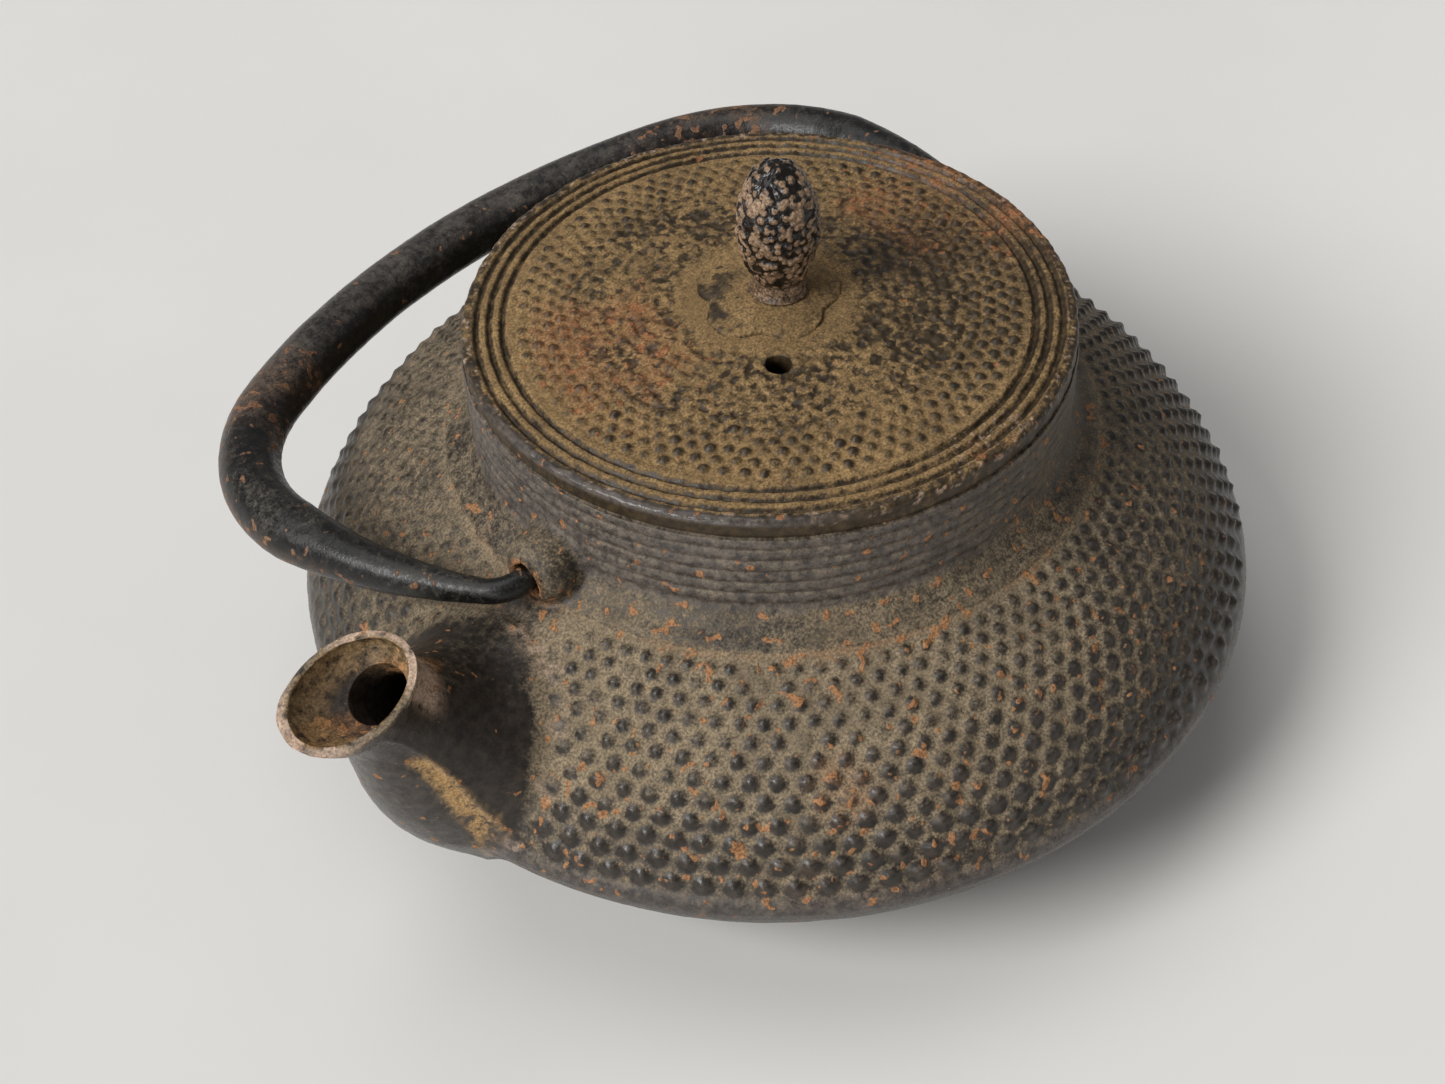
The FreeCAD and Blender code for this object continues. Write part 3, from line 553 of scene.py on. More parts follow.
def pot_profile():
    """Rows of the pot's outline, outside from the base up and then inside down, with columns and zones."""
    fine = NAILS_ROUND * NAIL_COLUMNS
    half, quarter = fine // 2, fine // 4
    bowl = arc((BASE_RADIUS, 0.0), (EDGE_RADIUS, EDGE_HEIGHT - EDGE_BAND), BOWL_ARC, 1, 44)
    cove = arc((COLLAR_RADIUS, COLLAR_HEIGHT + COLLAR_STEP), (NECK_RADIUS, NECK_HEIGHT), COVE_ARC, -1, 14)
    pitch = (RIM_HEIGHT - NECK_HEIGHT) / RIB_COUNT
    ribs = []
    for step in range(1, RIB_COUNT * 10):
        rise = step / 10.0
        swell = RIB_DEPTH * abs(math.sin(math.pi * rise)) ** 0.7
        ribs.append((NECK_RADIUS + swell, NECK_HEIGHT + pitch * rise))
    brim = EDGE_RADIUS - 0.05
    inner_edge = (EDGE_RADIUS - WALL, EDGE_HEIGHT - EDGE_BAND / 2)
    inner_neck = (MOUTH_RADIUS, COLLAR_HEIGHT - WALL / 2)
    return laid_out([
        ("base", [(0.0, 0.8)], 1),
        ("base", [(14.0, 0.8), (30.0, 0.8), (38.0, 0.8)], quarter),
        ("base", [(40.0, 0.3), (41.5, 0.0), (44.0, 0.0)], quarter),
        ("bowl", [(45.4, 0.1)], half),
        ("bowl", bowl[1:-1], half),
        ("edge", [(EDGE_RADIUS - 0.1, EDGE_HEIGHT - EDGE_BAND), (brim, EDGE_HEIGHT - 1.1)], fine),
        ("edge", [(brim, EDGE_HEIGHT - 0.4), (EDGE_RADIUS - 0.15, EDGE_HEIGHT)], fine),
        ("shoulder", SHOULDER[1:-1], fine),
        ("collar", [(COLLAR_RADIUS + 0.25, COLLAR_HEIGHT)], fine),
        ("collar", [(COLLAR_RADIUS + 0.1, COLLAR_HEIGHT + 0.3), (COLLAR_RADIUS, COLLAR_HEIGHT + 0.65)], half),
        ("collar", [(COLLAR_RADIUS - 0.5, COLLAR_HEIGHT + COLLAR_STEP)], half),
        ("cove", cove[1:], half),
        ("neck", ribs, half),
        ("rim", [(NECK_RADIUS + 0.1, RIM_HEIGHT - 0.3), (NECK_RADIUS - 0.3, RIM_HEIGHT)], half),
        ("rim", [(LEDGE_RADIUS, RIM_HEIGHT)], half),
        ("inside", [(LEDGE_RADIUS, LEDGE_HEIGHT), (MOUTH_RADIUS, LEDGE_HEIGHT)], quarter),
        ("inside", line((MOUTH_RADIUS, LEDGE_HEIGHT - 1), inner_neck, 8), quarter),
        ("inside", arc(inner_edge, inner_neck, SHOULDER_ARC - WALL, 1, 22)[-2::-1], quarter),
        ("inside", arc((BASE_RADIUS, FLOOR_WALL), inner_edge, BOWL_ARC - WALL, 1, 22)[-2::-1], quarter),
        ("inside", [(40.0, FLOOR_WALL), (20.0, FLOOR_WALL)], quarter),
        ("inside", [(0.0, FLOOR_WALL)], 1),
    ])


def pot_shell(nails):
    """Closed shell of the pot with its hobnails raised, before spout and ears are joined on."""
    profile, columns, zones = pot_profile()
    skin, angles, rows, out = turned(profile, columns)
    points = skin.all_points()
    zone = zones[rows]
    lift = np.zeros(len(points))
    on_shoulder = np.nonzero(zone == "shoulder")[0]
    along = shoulder_along(from_axis(points[on_shoulder]))
    height, _ = nails.crown(along, angles[on_shoulder])
    field = smooth(0.4, 2.0, along) * smooth(SHOULDER_RUN[-1] - 1.0, SHOULDER_RUN[-1] - 4.0, along)
    share = plain_share(points[on_shoulder, 0], points[on_shoulder, 1])
    lift[on_shoulder] = height - NAIL_VALLEY * field * share
    cast = 0.07 * grain(points, 1.1, 3) + 0.10 * grain(points, 6.0, 2, 5.0)
    lift += np.where(zone == "inside", 0.3 * cast, cast)
    worn = 0.16 * grain(points, 2.6, 3, 3.0)
    lift += np.where(np.isin(zone, ("edge", "collar", "rim")), worn, 0.0)
    lift = np.where(np.isin(zone, ("base", "edge")), np.minimum(lift, 0.0), lift)
    lift = np.where(np.isin(zone, ("neck", "cove")), lift + 0.12 * grain(points, 3.0, 3, 9.0), lift)
    return skin.mesh("pot_shell", points + out * lift[:, None])


def leaning_ring(reach, height, long, wide, lean, turn):
    """Points of a leaning oval section at the given turns."""
    lean = np.radians(lean)
    fore = long * np.cos(turn)
    return np.stack([reach + fore * np.sin(lean), wide * np.sin(turn), height - fore * np.cos(lean)], 1)


class Spout:
    """The spout's outer surface by its round (0 below, a half turn above) and its run from root to lip."""

    def __init__(self):
        sections = np.array(SPOUT_SECTIONS)
        self.run = np.concatenate([[0.0], np.cumsum(np.hypot(*np.diff(sections[:, :2], axis=0).T))])
        self.run /= self.run[-1]
        self.sections = sections

    def place(self, run, turn, grow=0.0):
        """Points at matching arrays of run and turn, grown outwards by a distance."""
        reach, height, long, wide, lean = spline(self.run, self.sections, run).T
        return leaning_ring(reach, height, long + grow, wide + grow, lean, turn)

    @staticmethod
    def crease(run):
        """Turn of the mould line along the spout's side."""
        return np.radians(np.interp(run, CREASE_RUN, CREASE_TURN))


SPOUT = Spout()


def outside_shoulder(points):
    """About how far points stand outside the pot's plain outline near the shoulder and bowl."""
    radius = from_axis(points)
    centre = arc_centre(SHOULDER)
    above = np.hypot(radius - centre[0], points[:, 2] - centre[1]) - SHOULDER_ARC
    below = radius - EDGE_RADIUS + np.maximum(EDGE_HEIGHT - points[:, 2], 0.0) * 0.35
    return np.where(points[:, 2] > EDGE_HEIGHT, above, below)


def arc_centre(points):
    """Centre of the circle through the first, middle and last point of an arc."""
    a, b, c = points[0], points[len(points) // 2], points[-1]
    rules = 2 * np.array([b - a, c - a])
    sides = np.array([b @ b - a @ a, c @ c - a @ a])
    return np.linalg.solve(rules, sides)


def spout_skin():
    """Closed body of the spout: leaning oval sections, a fillet at the shoulder and a worn, rounded lip."""
    skin, rings = Skin(), []
    turn = turns(SPOUT_COLUMNS)
    folded = np.minimum(turn, 2 * math.pi - turn)
    rings.append(skin.ring(SPOUT.place(np.zeros(1), np.zeros(1), -SPOUT_SECTIONS[0][2])))
    for run in np.linspace(0.0, 1.0, SPOUT_ROWS):
        along = np.full(SPOUT_COLUMNS, run)
        plain = SPOUT.place(along, turn)
        off = np.clip(outside_shoulder(plain), 0.0, FILLET_FADE)
        flare = SPOUT_FILLET * (1.0 - off / FILLET_FADE) ** 2
        bend = Spout.crease(along)
        under = SPOUT_UNDERCUT * (smooth(bend + 0.03, bend - 0.05, folded) * smooth(0.95, 0.90, run))
        ridge = np.exp(-((folded - bend) / 0.09) ** 2) * smooth(0.98, 0.88, run) * 0.22
        collar = 0.5 * smooth(0.86, 0.95, run) * smooth(1.3, 0.7, folded)
        collar *= 1 - 0.8 * smooth(0.7, 0.2, folded)
        rough = 0.10 * grain(plain, 1.6, 3, 2.0) + 0.16 * grain(plain, 7.0, 2, 4.0)
        grow = flare - under + ridge + collar - SPOUT_SUNK + rough
        rings.append(skin.ring(SPOUT.place(along, turn, grow)))
    ends = np.ones(SPOUT_COLUMNS)
    worn = 0.28 * grain(SPOUT.place(ends, turn), 3.5, 3, 8.0)
    lean = math.radians(SPOUT_SECTIONS[-1][4])
    up = np.array([math.cos(lean), 0.0, math.sin(lean)])
    for inset, rise in ((0.55, 0.35), (0.9, 0.5), (1.6, 0.5), (3.5, 0.5)):
        ring = SPOUT.place(ends, turn, -inset)
        rings.append(skin.ring(ring + up * (rise + worn)[:, None] - up * SPOUT_SUNK))
    rings.append(skin.ring(SPOUT.place(np.ones(1), np.zeros(1), -SPOUT_SECTIONS[-1][2])))
    skin.stack(rings)
    return skin


def bore_skin():
    """Closed cutter for the spout's bore: dished mouth, throat and the passage into the pot."""
    skin, rings = Skin(), []
    turn = turns(BORE_COLUMNS)
    reach, height, long, wide, lean = SPOUT_SECTIONS[-1]
    lip = np.array([reach, height, long - LIP_WALL, wide - LIP_WALL, lean])
    throat, gate = np.array(THROAT), np.array(GATE)
    rows = [lip + (0.5, 2.6, 0.8, 0.8, 0.0), lip + (0.1, 0.5, 0.35, 0.35, 0.0)]
    for share in np.concatenate([np.linspace(0.0, 0.96, 30), [0.985, 1.0]]):
        row = blend(lip, throat, share)
        row[2:4] = blend(lip[2:4], throat[2:4], share ** 1.7)
        rows.append(row)
    drop = throat + THROAT_DROP
    rows += [blend(throat, drop, share) for share in (0.04, 0.12, 0.4, 0.7)]
    rows += [blend(drop, gate, share) for share in np.linspace(0.0, 1.5, 24)]
    for index, row in enumerate(rows):
        ring = leaning_ring(*row, turn)
        if 1 < index < len(rows) - 1:
            ring = ring + 0.12 * grain(ring, 2.2, 3, 6.0)[:, None]
        if 2 < index < 22:
            ring[:, 2] += 0.09 * math.sin(1.35 * index) * smooth(0.1, -0.7, np.cos(turn))
        rings.append(skin.ring(ring))
    first, last = [skin.ring([[row[0], 0.0, row[1]]]) for row in (rows[0], rows[-1])]
    skin.stack([last] + rings[::-1] + [first])
    return skin


def sideways(profile, columns, side):
    """Surface turned about the hinge axis; profile rows are (reach, radius), mirrored for side -1."""
    skin, rings = Skin(), []
    turn = turns(columns)
    for reach, radius in profile:
        if radius == 0.0:
            rings.append(skin.ring([[side * reach, 0.0, HINGE_HEIGHT]]))
            continue
        x = np.full(columns, side * reach)
        rings.append(skin.ring(np.stack(
            [x, side * radius * np.cos(turn), HINGE_HEIGHT + radius * np.sin(turn)], 1)))
    skin.stack(rings)
    return skin


def ear_skin(side):
    """One soft lug round the bail's hook."""
    root, front, thick = MOUTH_RADIUS + 2.5, EAR_REACH - 0.2, LUG_RADIUS + 0.4
    rows = [(root, 0.0), (root, thick)]
    rows += [(reach, thick - 0.06 * (reach - 47.0)) for reach in np.linspace(48.0, 53.4, 8)]
    rows += [*arc((EAR_REACH - 3.0, LUG_RADIUS), (front, LUG_RADIUS - 2.6), 3.2, -1, 8)]
    rows += [(front, 3.0), (front, 0.0)]
    skin = sideways(rows, EAR_COLUMNS, side)
    points = skin.all_points()
    away = points - np.array([side * 50.0, 0.0, HINGE_HEIGHT])
    away /= np.maximum(np.linalg.norm(away, axis=1), 1e-6)[:, None]
    shift = 0.22 * grain(points, 3.0, 3, 1.0) - 0.1
    skin.points = [points + away * shift[:, None]]
    return skin


def socket_skin(side):
    """Cutter for the hook's hole, with a broken, wider mouth."""
    room = BAIL_TIP_RADIUS + BAIL_PLAY
    rows = [(EAR_REACH - EAR_DEPTH, 0.0), (EAR_REACH - EAR_DEPTH, room), (EAR_REACH - 2.2, room + 0.05)]
    rows += [(EAR_REACH - 1.2, room + 0.4), (EAR_REACH + 0.4, room + 1.1), (EAR_REACH + 3.0, room + 1.5)]
    rows += [(EAR_REACH + 3.0, 0.0)]
    skin = sideways(rows, SOCKET_COLUMNS, side)
    points = skin.all_points()
    off_axis = np.hypot(points[:, 1], points[:, 2] - HINGE_HEIGHT) > 0.5
    outer = (np.abs(points[:, 0]) > EAR_REACH - 2.0) & off_axis
    rough = np.where(outer, 1.0 + 0.22 * np.maximum(grain(points, 1.8, 2, 3.0), -0.4), 1.0)
    points[:, 1] *= rough
    points[:, 2] = HINGE_HEIGHT + (points[:, 2] - HINGE_HEIGHT) * rough
    skin.points = [points]
    return skin


def soften(data, seam, reach, rounds):
    """Relaxes the surface within reach of a seam, so that a joined form flows into the shell."""
    points = points_of(data)
    boxed = in_box(points, seam.min(0) - reach, seam.max(0) + reach)
    weight = np.zeros(len(points))
    weight[boxed] = smooth(reach, 0.4, near(points[boxed], seam))
    ends = np.zeros(len(data.edges) * 2, np.int32)
    data.edges.foreach_get("vertices", ends)
    first, second = ends.reshape(-1, 2).T
    active = (weight[first] > 0) | (weight[second] > 0)
    first, second = first[active], second[active]
    degree = np.bincount(np.concatenate([first, second]), minlength=len(points))
    for _ in range(rounds):
        total = np.zeros_like(points)
        np.add.at(total, first, points[second])
        np.add.at(total, second, points[first])
        mean = total / np.maximum(degree, 1)[:, None]
        points += (0.5 * weight * (degree > 0))[:, None] * (mean - points)
    set_points(data, points)
    data.update()


def joined_on(data, skin, name, reach, rounds):
    """Adds a closed form to the pot and softens the seam between them."""
    before = points_of(data)
    added = skin.all_points()
    data = combined(data, skin.mesh(name), "UNION")
    points = points_of(data)
    low, high = added.min(0) - 1.0, added.max(0) + 1.0
    boxed = points[in_box(points, low, high)]
    known = before[in_box(before, low, high)]
    seam = boxed[near(boxed, np.concatenate([known, added])) > NEW_POINT]
    if len(seam):
        soften(data, seam, reach, rounds)
    return data


def spout_places(points):
    """Turn and run on the spout of the nearest point of its outside, and the distance to it."""
    turn, run = np.meshgrid(np.linspace(0, 2 * math.pi, 121), np.linspace(0.0, 1.0, 81))
    turn, run = turn.ravel(), run.ravel()
    tree = tree_of(SPOUT.place(run, turn))
    found = [tree.find(point) for point in points]
    which = np.array([item[1] for item in found])
    return turn[which], run[which], np.array([item[2] for item in found])


def casting_marks(points, normals, mottle, nails):
    """Marks of the shoulder with its hobnails, the edge, the collar, the cove and the neck, with painted
    highlights on the nails, painted sheen on the front of the neck and painted shade on the right side.
    """
    radius, height = from_axis(points), points[:, 2]
    angle = np.arctan2(points[:, 1], points[:, 0])
    outer = (height > EDGE_HEIGHT - 0.5) & (height < COLLAR_HEIGHT + 0.2) & (radius > COLLAR_RADIUS - 0.5)
    along = shoulder_along(radius)
    to_edge = SHOULDER_RUN[-1] - along
    crown, bare = np.zeros(len(points)), np.zeros(len(points))
    raised, crown[outer] = nails.crown(along[outer], angle[outer])
    # Grey on the tops of the taller nails: a painted highlight.
    bare[outer] = 0.5 * smooth(0.55, 0.9, raised)
    veiled = smooth(0.1, -0.5, angle) * smooth(-2.4, -1.8, angle)
    crown *= (1.0 - 0.4 * veiled) * np.clip(0.88 + 0.5 * grain(points, 5.0, 2, 23.0), 0.45, 1.0)
    dust = 0.10 + 0.68 * smooth(0.0, 0.75, normals[:, 2]) + 0.16 * mottle
    dust -= (0.05 * smooth(4.5, 2.0, to_edge) + 0.20 * smooth(20.0, 7.0, to_edge)) * outer
    # The shoulder is made darker on its left side, and darker towards its right side as painted shade.
    dust -= (0.27 * veiled + 0.30 * smooth(1.1, 1.9, angle)) * outer
    neck = (radius < COLLAR_RADIUS - 3.5) & (height > NECK_HEIGHT - 1.5)
    ledges = smooth(0.15, 0.6, normals[:, 2])
    dust = np.where(neck, 0.33 + 0.16 * ledges + 0.10 * mottle - 0.12 * smooth(0.5, -0.3, angle), dust)
    # Grey on the front of the neck, less on its ledges: a painted sheen.
    neck_front_sheen = smooth(-1.1, -0.3, angle) * smooth(1.9, 1.1, angle) * neck
    bare += neck_front_sheen * np.clip(0.72 - 0.35 * ledges + 0.3 * mottle, 0.0, 1.0)
    brim = smooth(3.4, 1.8, to_edge) * smooth(EDGE_HEIGHT - 2.4, EDGE_HEIGHT - 1.2, height) * (radius > 70.0)
    bare = np.maximum(bare, brim * (0.55 + 0.3 * mottle))
    cove = (height > COLLAR_HEIGHT + 0.5) & ~neck & (radius > NECK_RADIUS - 0.5)
    dust = np.where(cove, 0.44 + 0.30 * grain(points, 15.0, 2, 27.0), dust)
    collar = smooth(1.0, 0.2, np.abs(height - COLLAR_HEIGHT)) * (radius > COLLAR_RADIUS - 2.5)
    dust += 0.12 * collar
    dust = np.where(height < EDGE_HEIGHT - 0.3, 0.10 + 0.08 * mottle, dust)
    # Loose rust grains are thickest on the front of the shoulder and along the collar.
    front = smooth(1.2, 0.1, np.abs(angle - 0.95))
    cluster = smooth(9.0, 3.0, np.hypot(along - 21.0, (angle - 0.86) * radius)) * outer
    rust = 0.16 + 0.20 * front * outer + 0.20 * grain(points, 11.0, 2, 31.0) + 0.26 * cluster
    rust += 0.28 * collar + 0.10 * neck + 0.18 * cove
    stain, pale = np.zeros(len(points)), np.zeros(len(points))
    return {"crown": crown, "dust": dust, "rust": rust, "stain": stain, "pale": pale, "bare": bare}


def tea_streak(points, run, folded, crease):
    """Dried tea along the mould line, widest under the lip, crumbling into a second trail near the root."""
    middle = crease - np.interp(run, (0.15, 0.35, 0.8), (0.16, 0.12, 0.13))
    width = np.interp(run, (0.15, 0.4, 0.75), (0.10, 0.14, 0.16))
    band = np.exp(-((folded - middle) / width) ** 4) * smooth(0.14, 0.26, run) * smooth(0.755, 0.70, run)
    band *= smooth(-0.30, 0.05, grain(points, 2.4, 3, 51.0) + 0.45 * smooth(0.35, 0.6, run))
    trail = np.exp(-((folded - crease - 0.02) / 0.09) ** 4)
    trail = trail * smooth(0.03, 0.10, run) * smooth(0.44, 0.34, run)
    return np.maximum(band, trail * smooth(-0.02, 0.2, grain(points, 1.7, 3, 53.0)))


def spout_marks(points, normals, mottle, marks):
    """Marks on the spout: rough lip, greenish-brown dish, dark flanks, tea streak, crust behind the lip,
    painted sheen below the mould line and painted shade deep in the bore.
    """
    crown, dust, rust, bare = [marks[name] for name in ("crown", "dust", "rust", "bare")]
    turn, run, off = spout_places(points)
    folded = np.minimum(turn, 2 * math.pi - turn)
    crease = Spout.crease(run)
    near_side = points[:, 1] > 0
    clear = outside_shoulder(points)
    on_spout = smooth(2.6, 1.2, off) * smooth(0.2, 3.0, clear + 0.9 * grain(points, 2.4, 3, 41.0))
    lip = smooth(0.965, 0.985, run) * (off < 2.6)
    reach, level = spline(SPOUT.run, SPOUT.sections, run)[:, :2].T
    from_middle = points - np.stack([reach, np.zeros(len(run)), level], 1)
    inside = ((from_middle * normals).sum(1) < 0) * (off > 0.9) * (run > 0.6) * (clear > 4.0)
    outside = on_spout * (1 - lip) * (1 - inside)
    film = smooth(0.55, 0.95, normals[:, 2])
    crown = crown * (1 - on_spout) + outside * (0.55 - 0.30 * film)
    dust = blend(dust, 0.20, on_spout)
    dust = blend(dust, 0.52 + 0.9 * grain(points, 1.8, 3, 43.0), lip)
    stain = tea_streak(points, run, folded, crease) * on_spout * near_side
    # Grey on the spout below the mould line: a painted sheen.
    bare = bare * (1 - on_spout) + 0.20 * outside * smooth(crease + 0.05, crease - 0.15, folded)
    # Deeper in the bore the dust and tea fade and the iron turns dark: painted shade.
    shallow = smooth(4.2, 2.6, off)
    stain = np.where(inside, (0.40 + 0.12 * mottle) * shallow, stain)
    dust = np.where(inside, (0.20 + 0.12 * mottle) * shallow, dust)
    crown = np.where(inside, 0.6 * (1 - shallow), crown)
    patch = smooth(0.70, 0.84, run) * smooth(1.85, 2.25, turn) * smooth(4.6, 4.1, turn) * (off < 2.2)
    patch *= smooth(-0.55, -0.1, grain(points, 4.0, 3, 57.0) + 0.3 * smooth(0.86, 0.97, run))
    rust = np.where(inside, 0.10, blend(rust, 0.17 + 0.42 * patch - 0.12 * lip, on_spout))
    dust = np.maximum(dust, patch * (1 - inside))
    crown = crown * (1 - patch)
    # Pale: the worn underside of the lip, the crust behind it and lint in the corner at the root.
    worn_low = smooth(1.5, 0.7, folded) * smooth(0.955, 0.985, run) * (off < 1.6) * (1 - inside)
    worn_low = worn_low * (0.62 + 0.6 * grain(points, 2.4, 3, 47.0))
    lint = np.exp(-((clear - 0.6) / 0.9) ** 2) * (off < 4.0) * smooth(0.34, 0.2, run) * near_side
    pale = np.maximum(worn_low, 0.9 * patch * (1 - inside))
    pale += 0.6 * lint * smooth(0.0, 0.35, grain(points, 2.0, 3, 59.0))
    return {"crown": crown, "dust": dust, "rust": rust, "stain": stain, "pale": pale, "bare": bare}


def ear_marks(points, mottle, dust, rust):
    """Dust and rust with the rusty mouths of the bail's holes and the dusty lugs round them."""
    reach = np.abs(points[:, 0])
    hole = np.hypot(points[:, 1], points[:, 2] - HINGE_HEIGHT)
    at_hole = smooth(4.4, 2.6, hole) * (reach > EAR_REACH - 4.0)
    lug = smooth(LUG_RADIUS + 3.0, LUG_RADIUS, hole) * (reach > NECK_RADIUS)
    dust = blend(dust, 0.34 + 0.25 * mottle, lug) * (1.0 - 0.35 * at_hole)
    return dust, rust + (0.55 * at_hole + 0.10 * lug)


def mark_pot(data, nails):
    """Where dust has settled, where rust shows, where the iron is rubbed, and where highlights, sheen and
    shade are painted, over the whole pot.
    """
    points, normals = points_of(data), normals_of(data)
    mottle = grain(points, 9.0, 3, 21.0)
    marks = casting_marks(points, normals, mottle, nails)
    by_spout = (points[:, 0] > SPOUT_FROM) & (np.abs(points[:, 1]) < SPOUT_SIDE)
    by_spout = by_spout & (points[:, 2] > SPOUT_FOOT)
    there = {name: values[by_spout] for name, values in marks.items()}
    there = spout_marks(points[by_spout], normals[by_spout], mottle[by_spout], there)
    for name, values in there.items():
        marks[name][by_spout] = values
    marks["dust"], marks["rust"] = ear_marks(points, mottle, marks["dust"], marks["rust"])
    set_marks(data, **marks)


def make_pot(material):
    """The casting: shell, spout and ears joined on, then the bore and the hooks' sockets cut."""
    nails = Hobnails()
    data = pot_shell(nails)
    data = joined_on(data, spout_skin(), "spout", *SPOUT_SEAM)
    for side in (1, -1):
        data = joined_on(data, ear_skin(side), "ear", *EAR_SEAM)
    data = combined(data, bore_skin().mesh("bore"), "DIFFERENCE")
    for side in (1, -1):
        data = combined(data, socket_skin(side).mesh("socket"), "DIFFERENCE")
    data = without_slivers(data)
    data.name = "hobnail_pot"
    mark_pot(data, nails)
    return new_piece(data, "pot", ["pot_body"], material)


# The lid and its knob

def lid_profile():
    """Rows of the lid from the middle of its underside, round skirt and edge, to the middle of its top."""
    fine = DOTS_ROUND * DOT_COLUMNS
    half, quarter = fine // 2, fine // 4
    inner = SKIRT_RADIUS - SKIRT_WALL
    edge_foot = (LID_RADIUS, LID_EDGE_TOP - LID_ROUND)
    edge = arc(edge_foot, (LID_RADIUS - LID_ROUND, LID_EDGE_TOP), LID_ROUND, 1, 6)
    rings = []
    ring_end = GROOVES[-1] - RING_DEPTH
    for radius in np.arange(LID_RADIUS - LID_ROUND - 0.2, ring_end, -0.2):
        dips = [RING_DEPTH * max(0.0, 1.0 - abs(radius - groove) / RING_DEPTH) for groove in GROOVES]
        rings.append((radius, LID_EDGE_TOP - max(dips)))
    flat = PETAL_REACH + SEAT_ROUND
    dome_arc = LID_RADIUS ** 2 / (LID_TOP - LID_EDGE_TOP) / 2
    dome = arc((ring_end, LID_EDGE_TOP), (flat, LID_TOP), dome_arc, 1, 96)
    skirt = [(inner, SKIRT_FOOT + 0.3), (inner + 0.3, SKIRT_FOOT), (SKIRT_RADIUS - 0.3, SKIRT_FOOT)]
    return laid_out([
        ("under", [(0.0, LID_UNDER)], 1),
        ("under", [(10.0, LID_UNDER), (25.0, LID_UNDER), (inner, LID_UNDER)], quarter),
        ("skirt", skirt, quarter),
        ("skirt", [(SKIRT_RADIUS, SKIRT_FOOT + 0.3), (SKIRT_RADIUS, RIM_HEIGHT)], quarter),
        ("edge", [(LID_RADIUS - 0.4, RIM_HEIGHT), (LID_RADIUS, RIM_HEIGHT + 0.4)], half),
        ("edge", line((LID_RADIUS, RIM_HEIGHT + 0.9), (LID_RADIUS, LID_EDGE_TOP - LID_ROUND - 0.3), 4), fine),
        ("edge", edge, fine),
        ("rings", rings, fine),
        ("dome", dome[dome[:, 0] > FINE_RADIUS], fine),
        ("dome", dome[dome[:, 0] <= FINE_RADIUS], half),
        ("flat", [(11.0, LID_TOP), (9.0, LID_TOP), (7.0, LID_TOP)], quarter),
        ("flat", [(0.0, LID_TOP)], 1),
    ])


def dot_field(radius, angle):
    """Share of a whole dot at each place of the lid's top, in even rings outside and loose ones within."""
    share = np.zeros(len(radius))
    draw = np.random.default_rng(DOT_SEED)
    for row in range(DOT_RINGS):
        ring = DOT_FIRST - DOT_STEP * row
        loose = smooth(1.5, 6.0, row)
        count = DOTS_ROUND if row < EVEN_RINGS else int(round(2 * math.pi * ring / DOT_STEP))
        pitch = 2 * math.pi / count
        uneven = 1.0 + np.clip(draw.normal(0.0, 0.16 + 0.2 * loose, count), -0.6, 0.4)
        slip = draw.normal(0.0, 0.10 + 0.34 * loose, (2, count))
        smear = 1.0 + loose * np.abs(draw.normal(0.0, 0.55, count))
        picked = np.nonzero(np.abs(radius - ring) < 2.4)[0]
        turn = angle[picked] / pitch + 0.5 * (row % 2)
        dot = np.round(turn).astype(int)
        which = dot % count
        across = ((turn - dot) * pitch * ring - slip[0, which]) / smear[which]
        down = radius[picked] - ring - slip[1, which]
        away = np.hypot(across, down) / (1.12 - 0.2 * loose)
        form = np.clip(1.0 - away ** 2, 0.0, 1.0) ** 1.3 * uneven[which]
        share[picked] = np.maximum(share[picked], form)
    return share * smooth(12.5, 17.0, radius)


def apart(degrees, middle):
    """How far headings lie from a middle one, from 0 to 180 degrees."""
    return np.abs((degrees - middle + 180.0) % 360.0 - 180.0)


def rubbed_rim(degrees):
    """1 on the stretch of the lid's rim that hands have rubbed smooth, 0 elsewhere."""
    return smooth(48.0, 24.0, apart(degrees, 16.0))


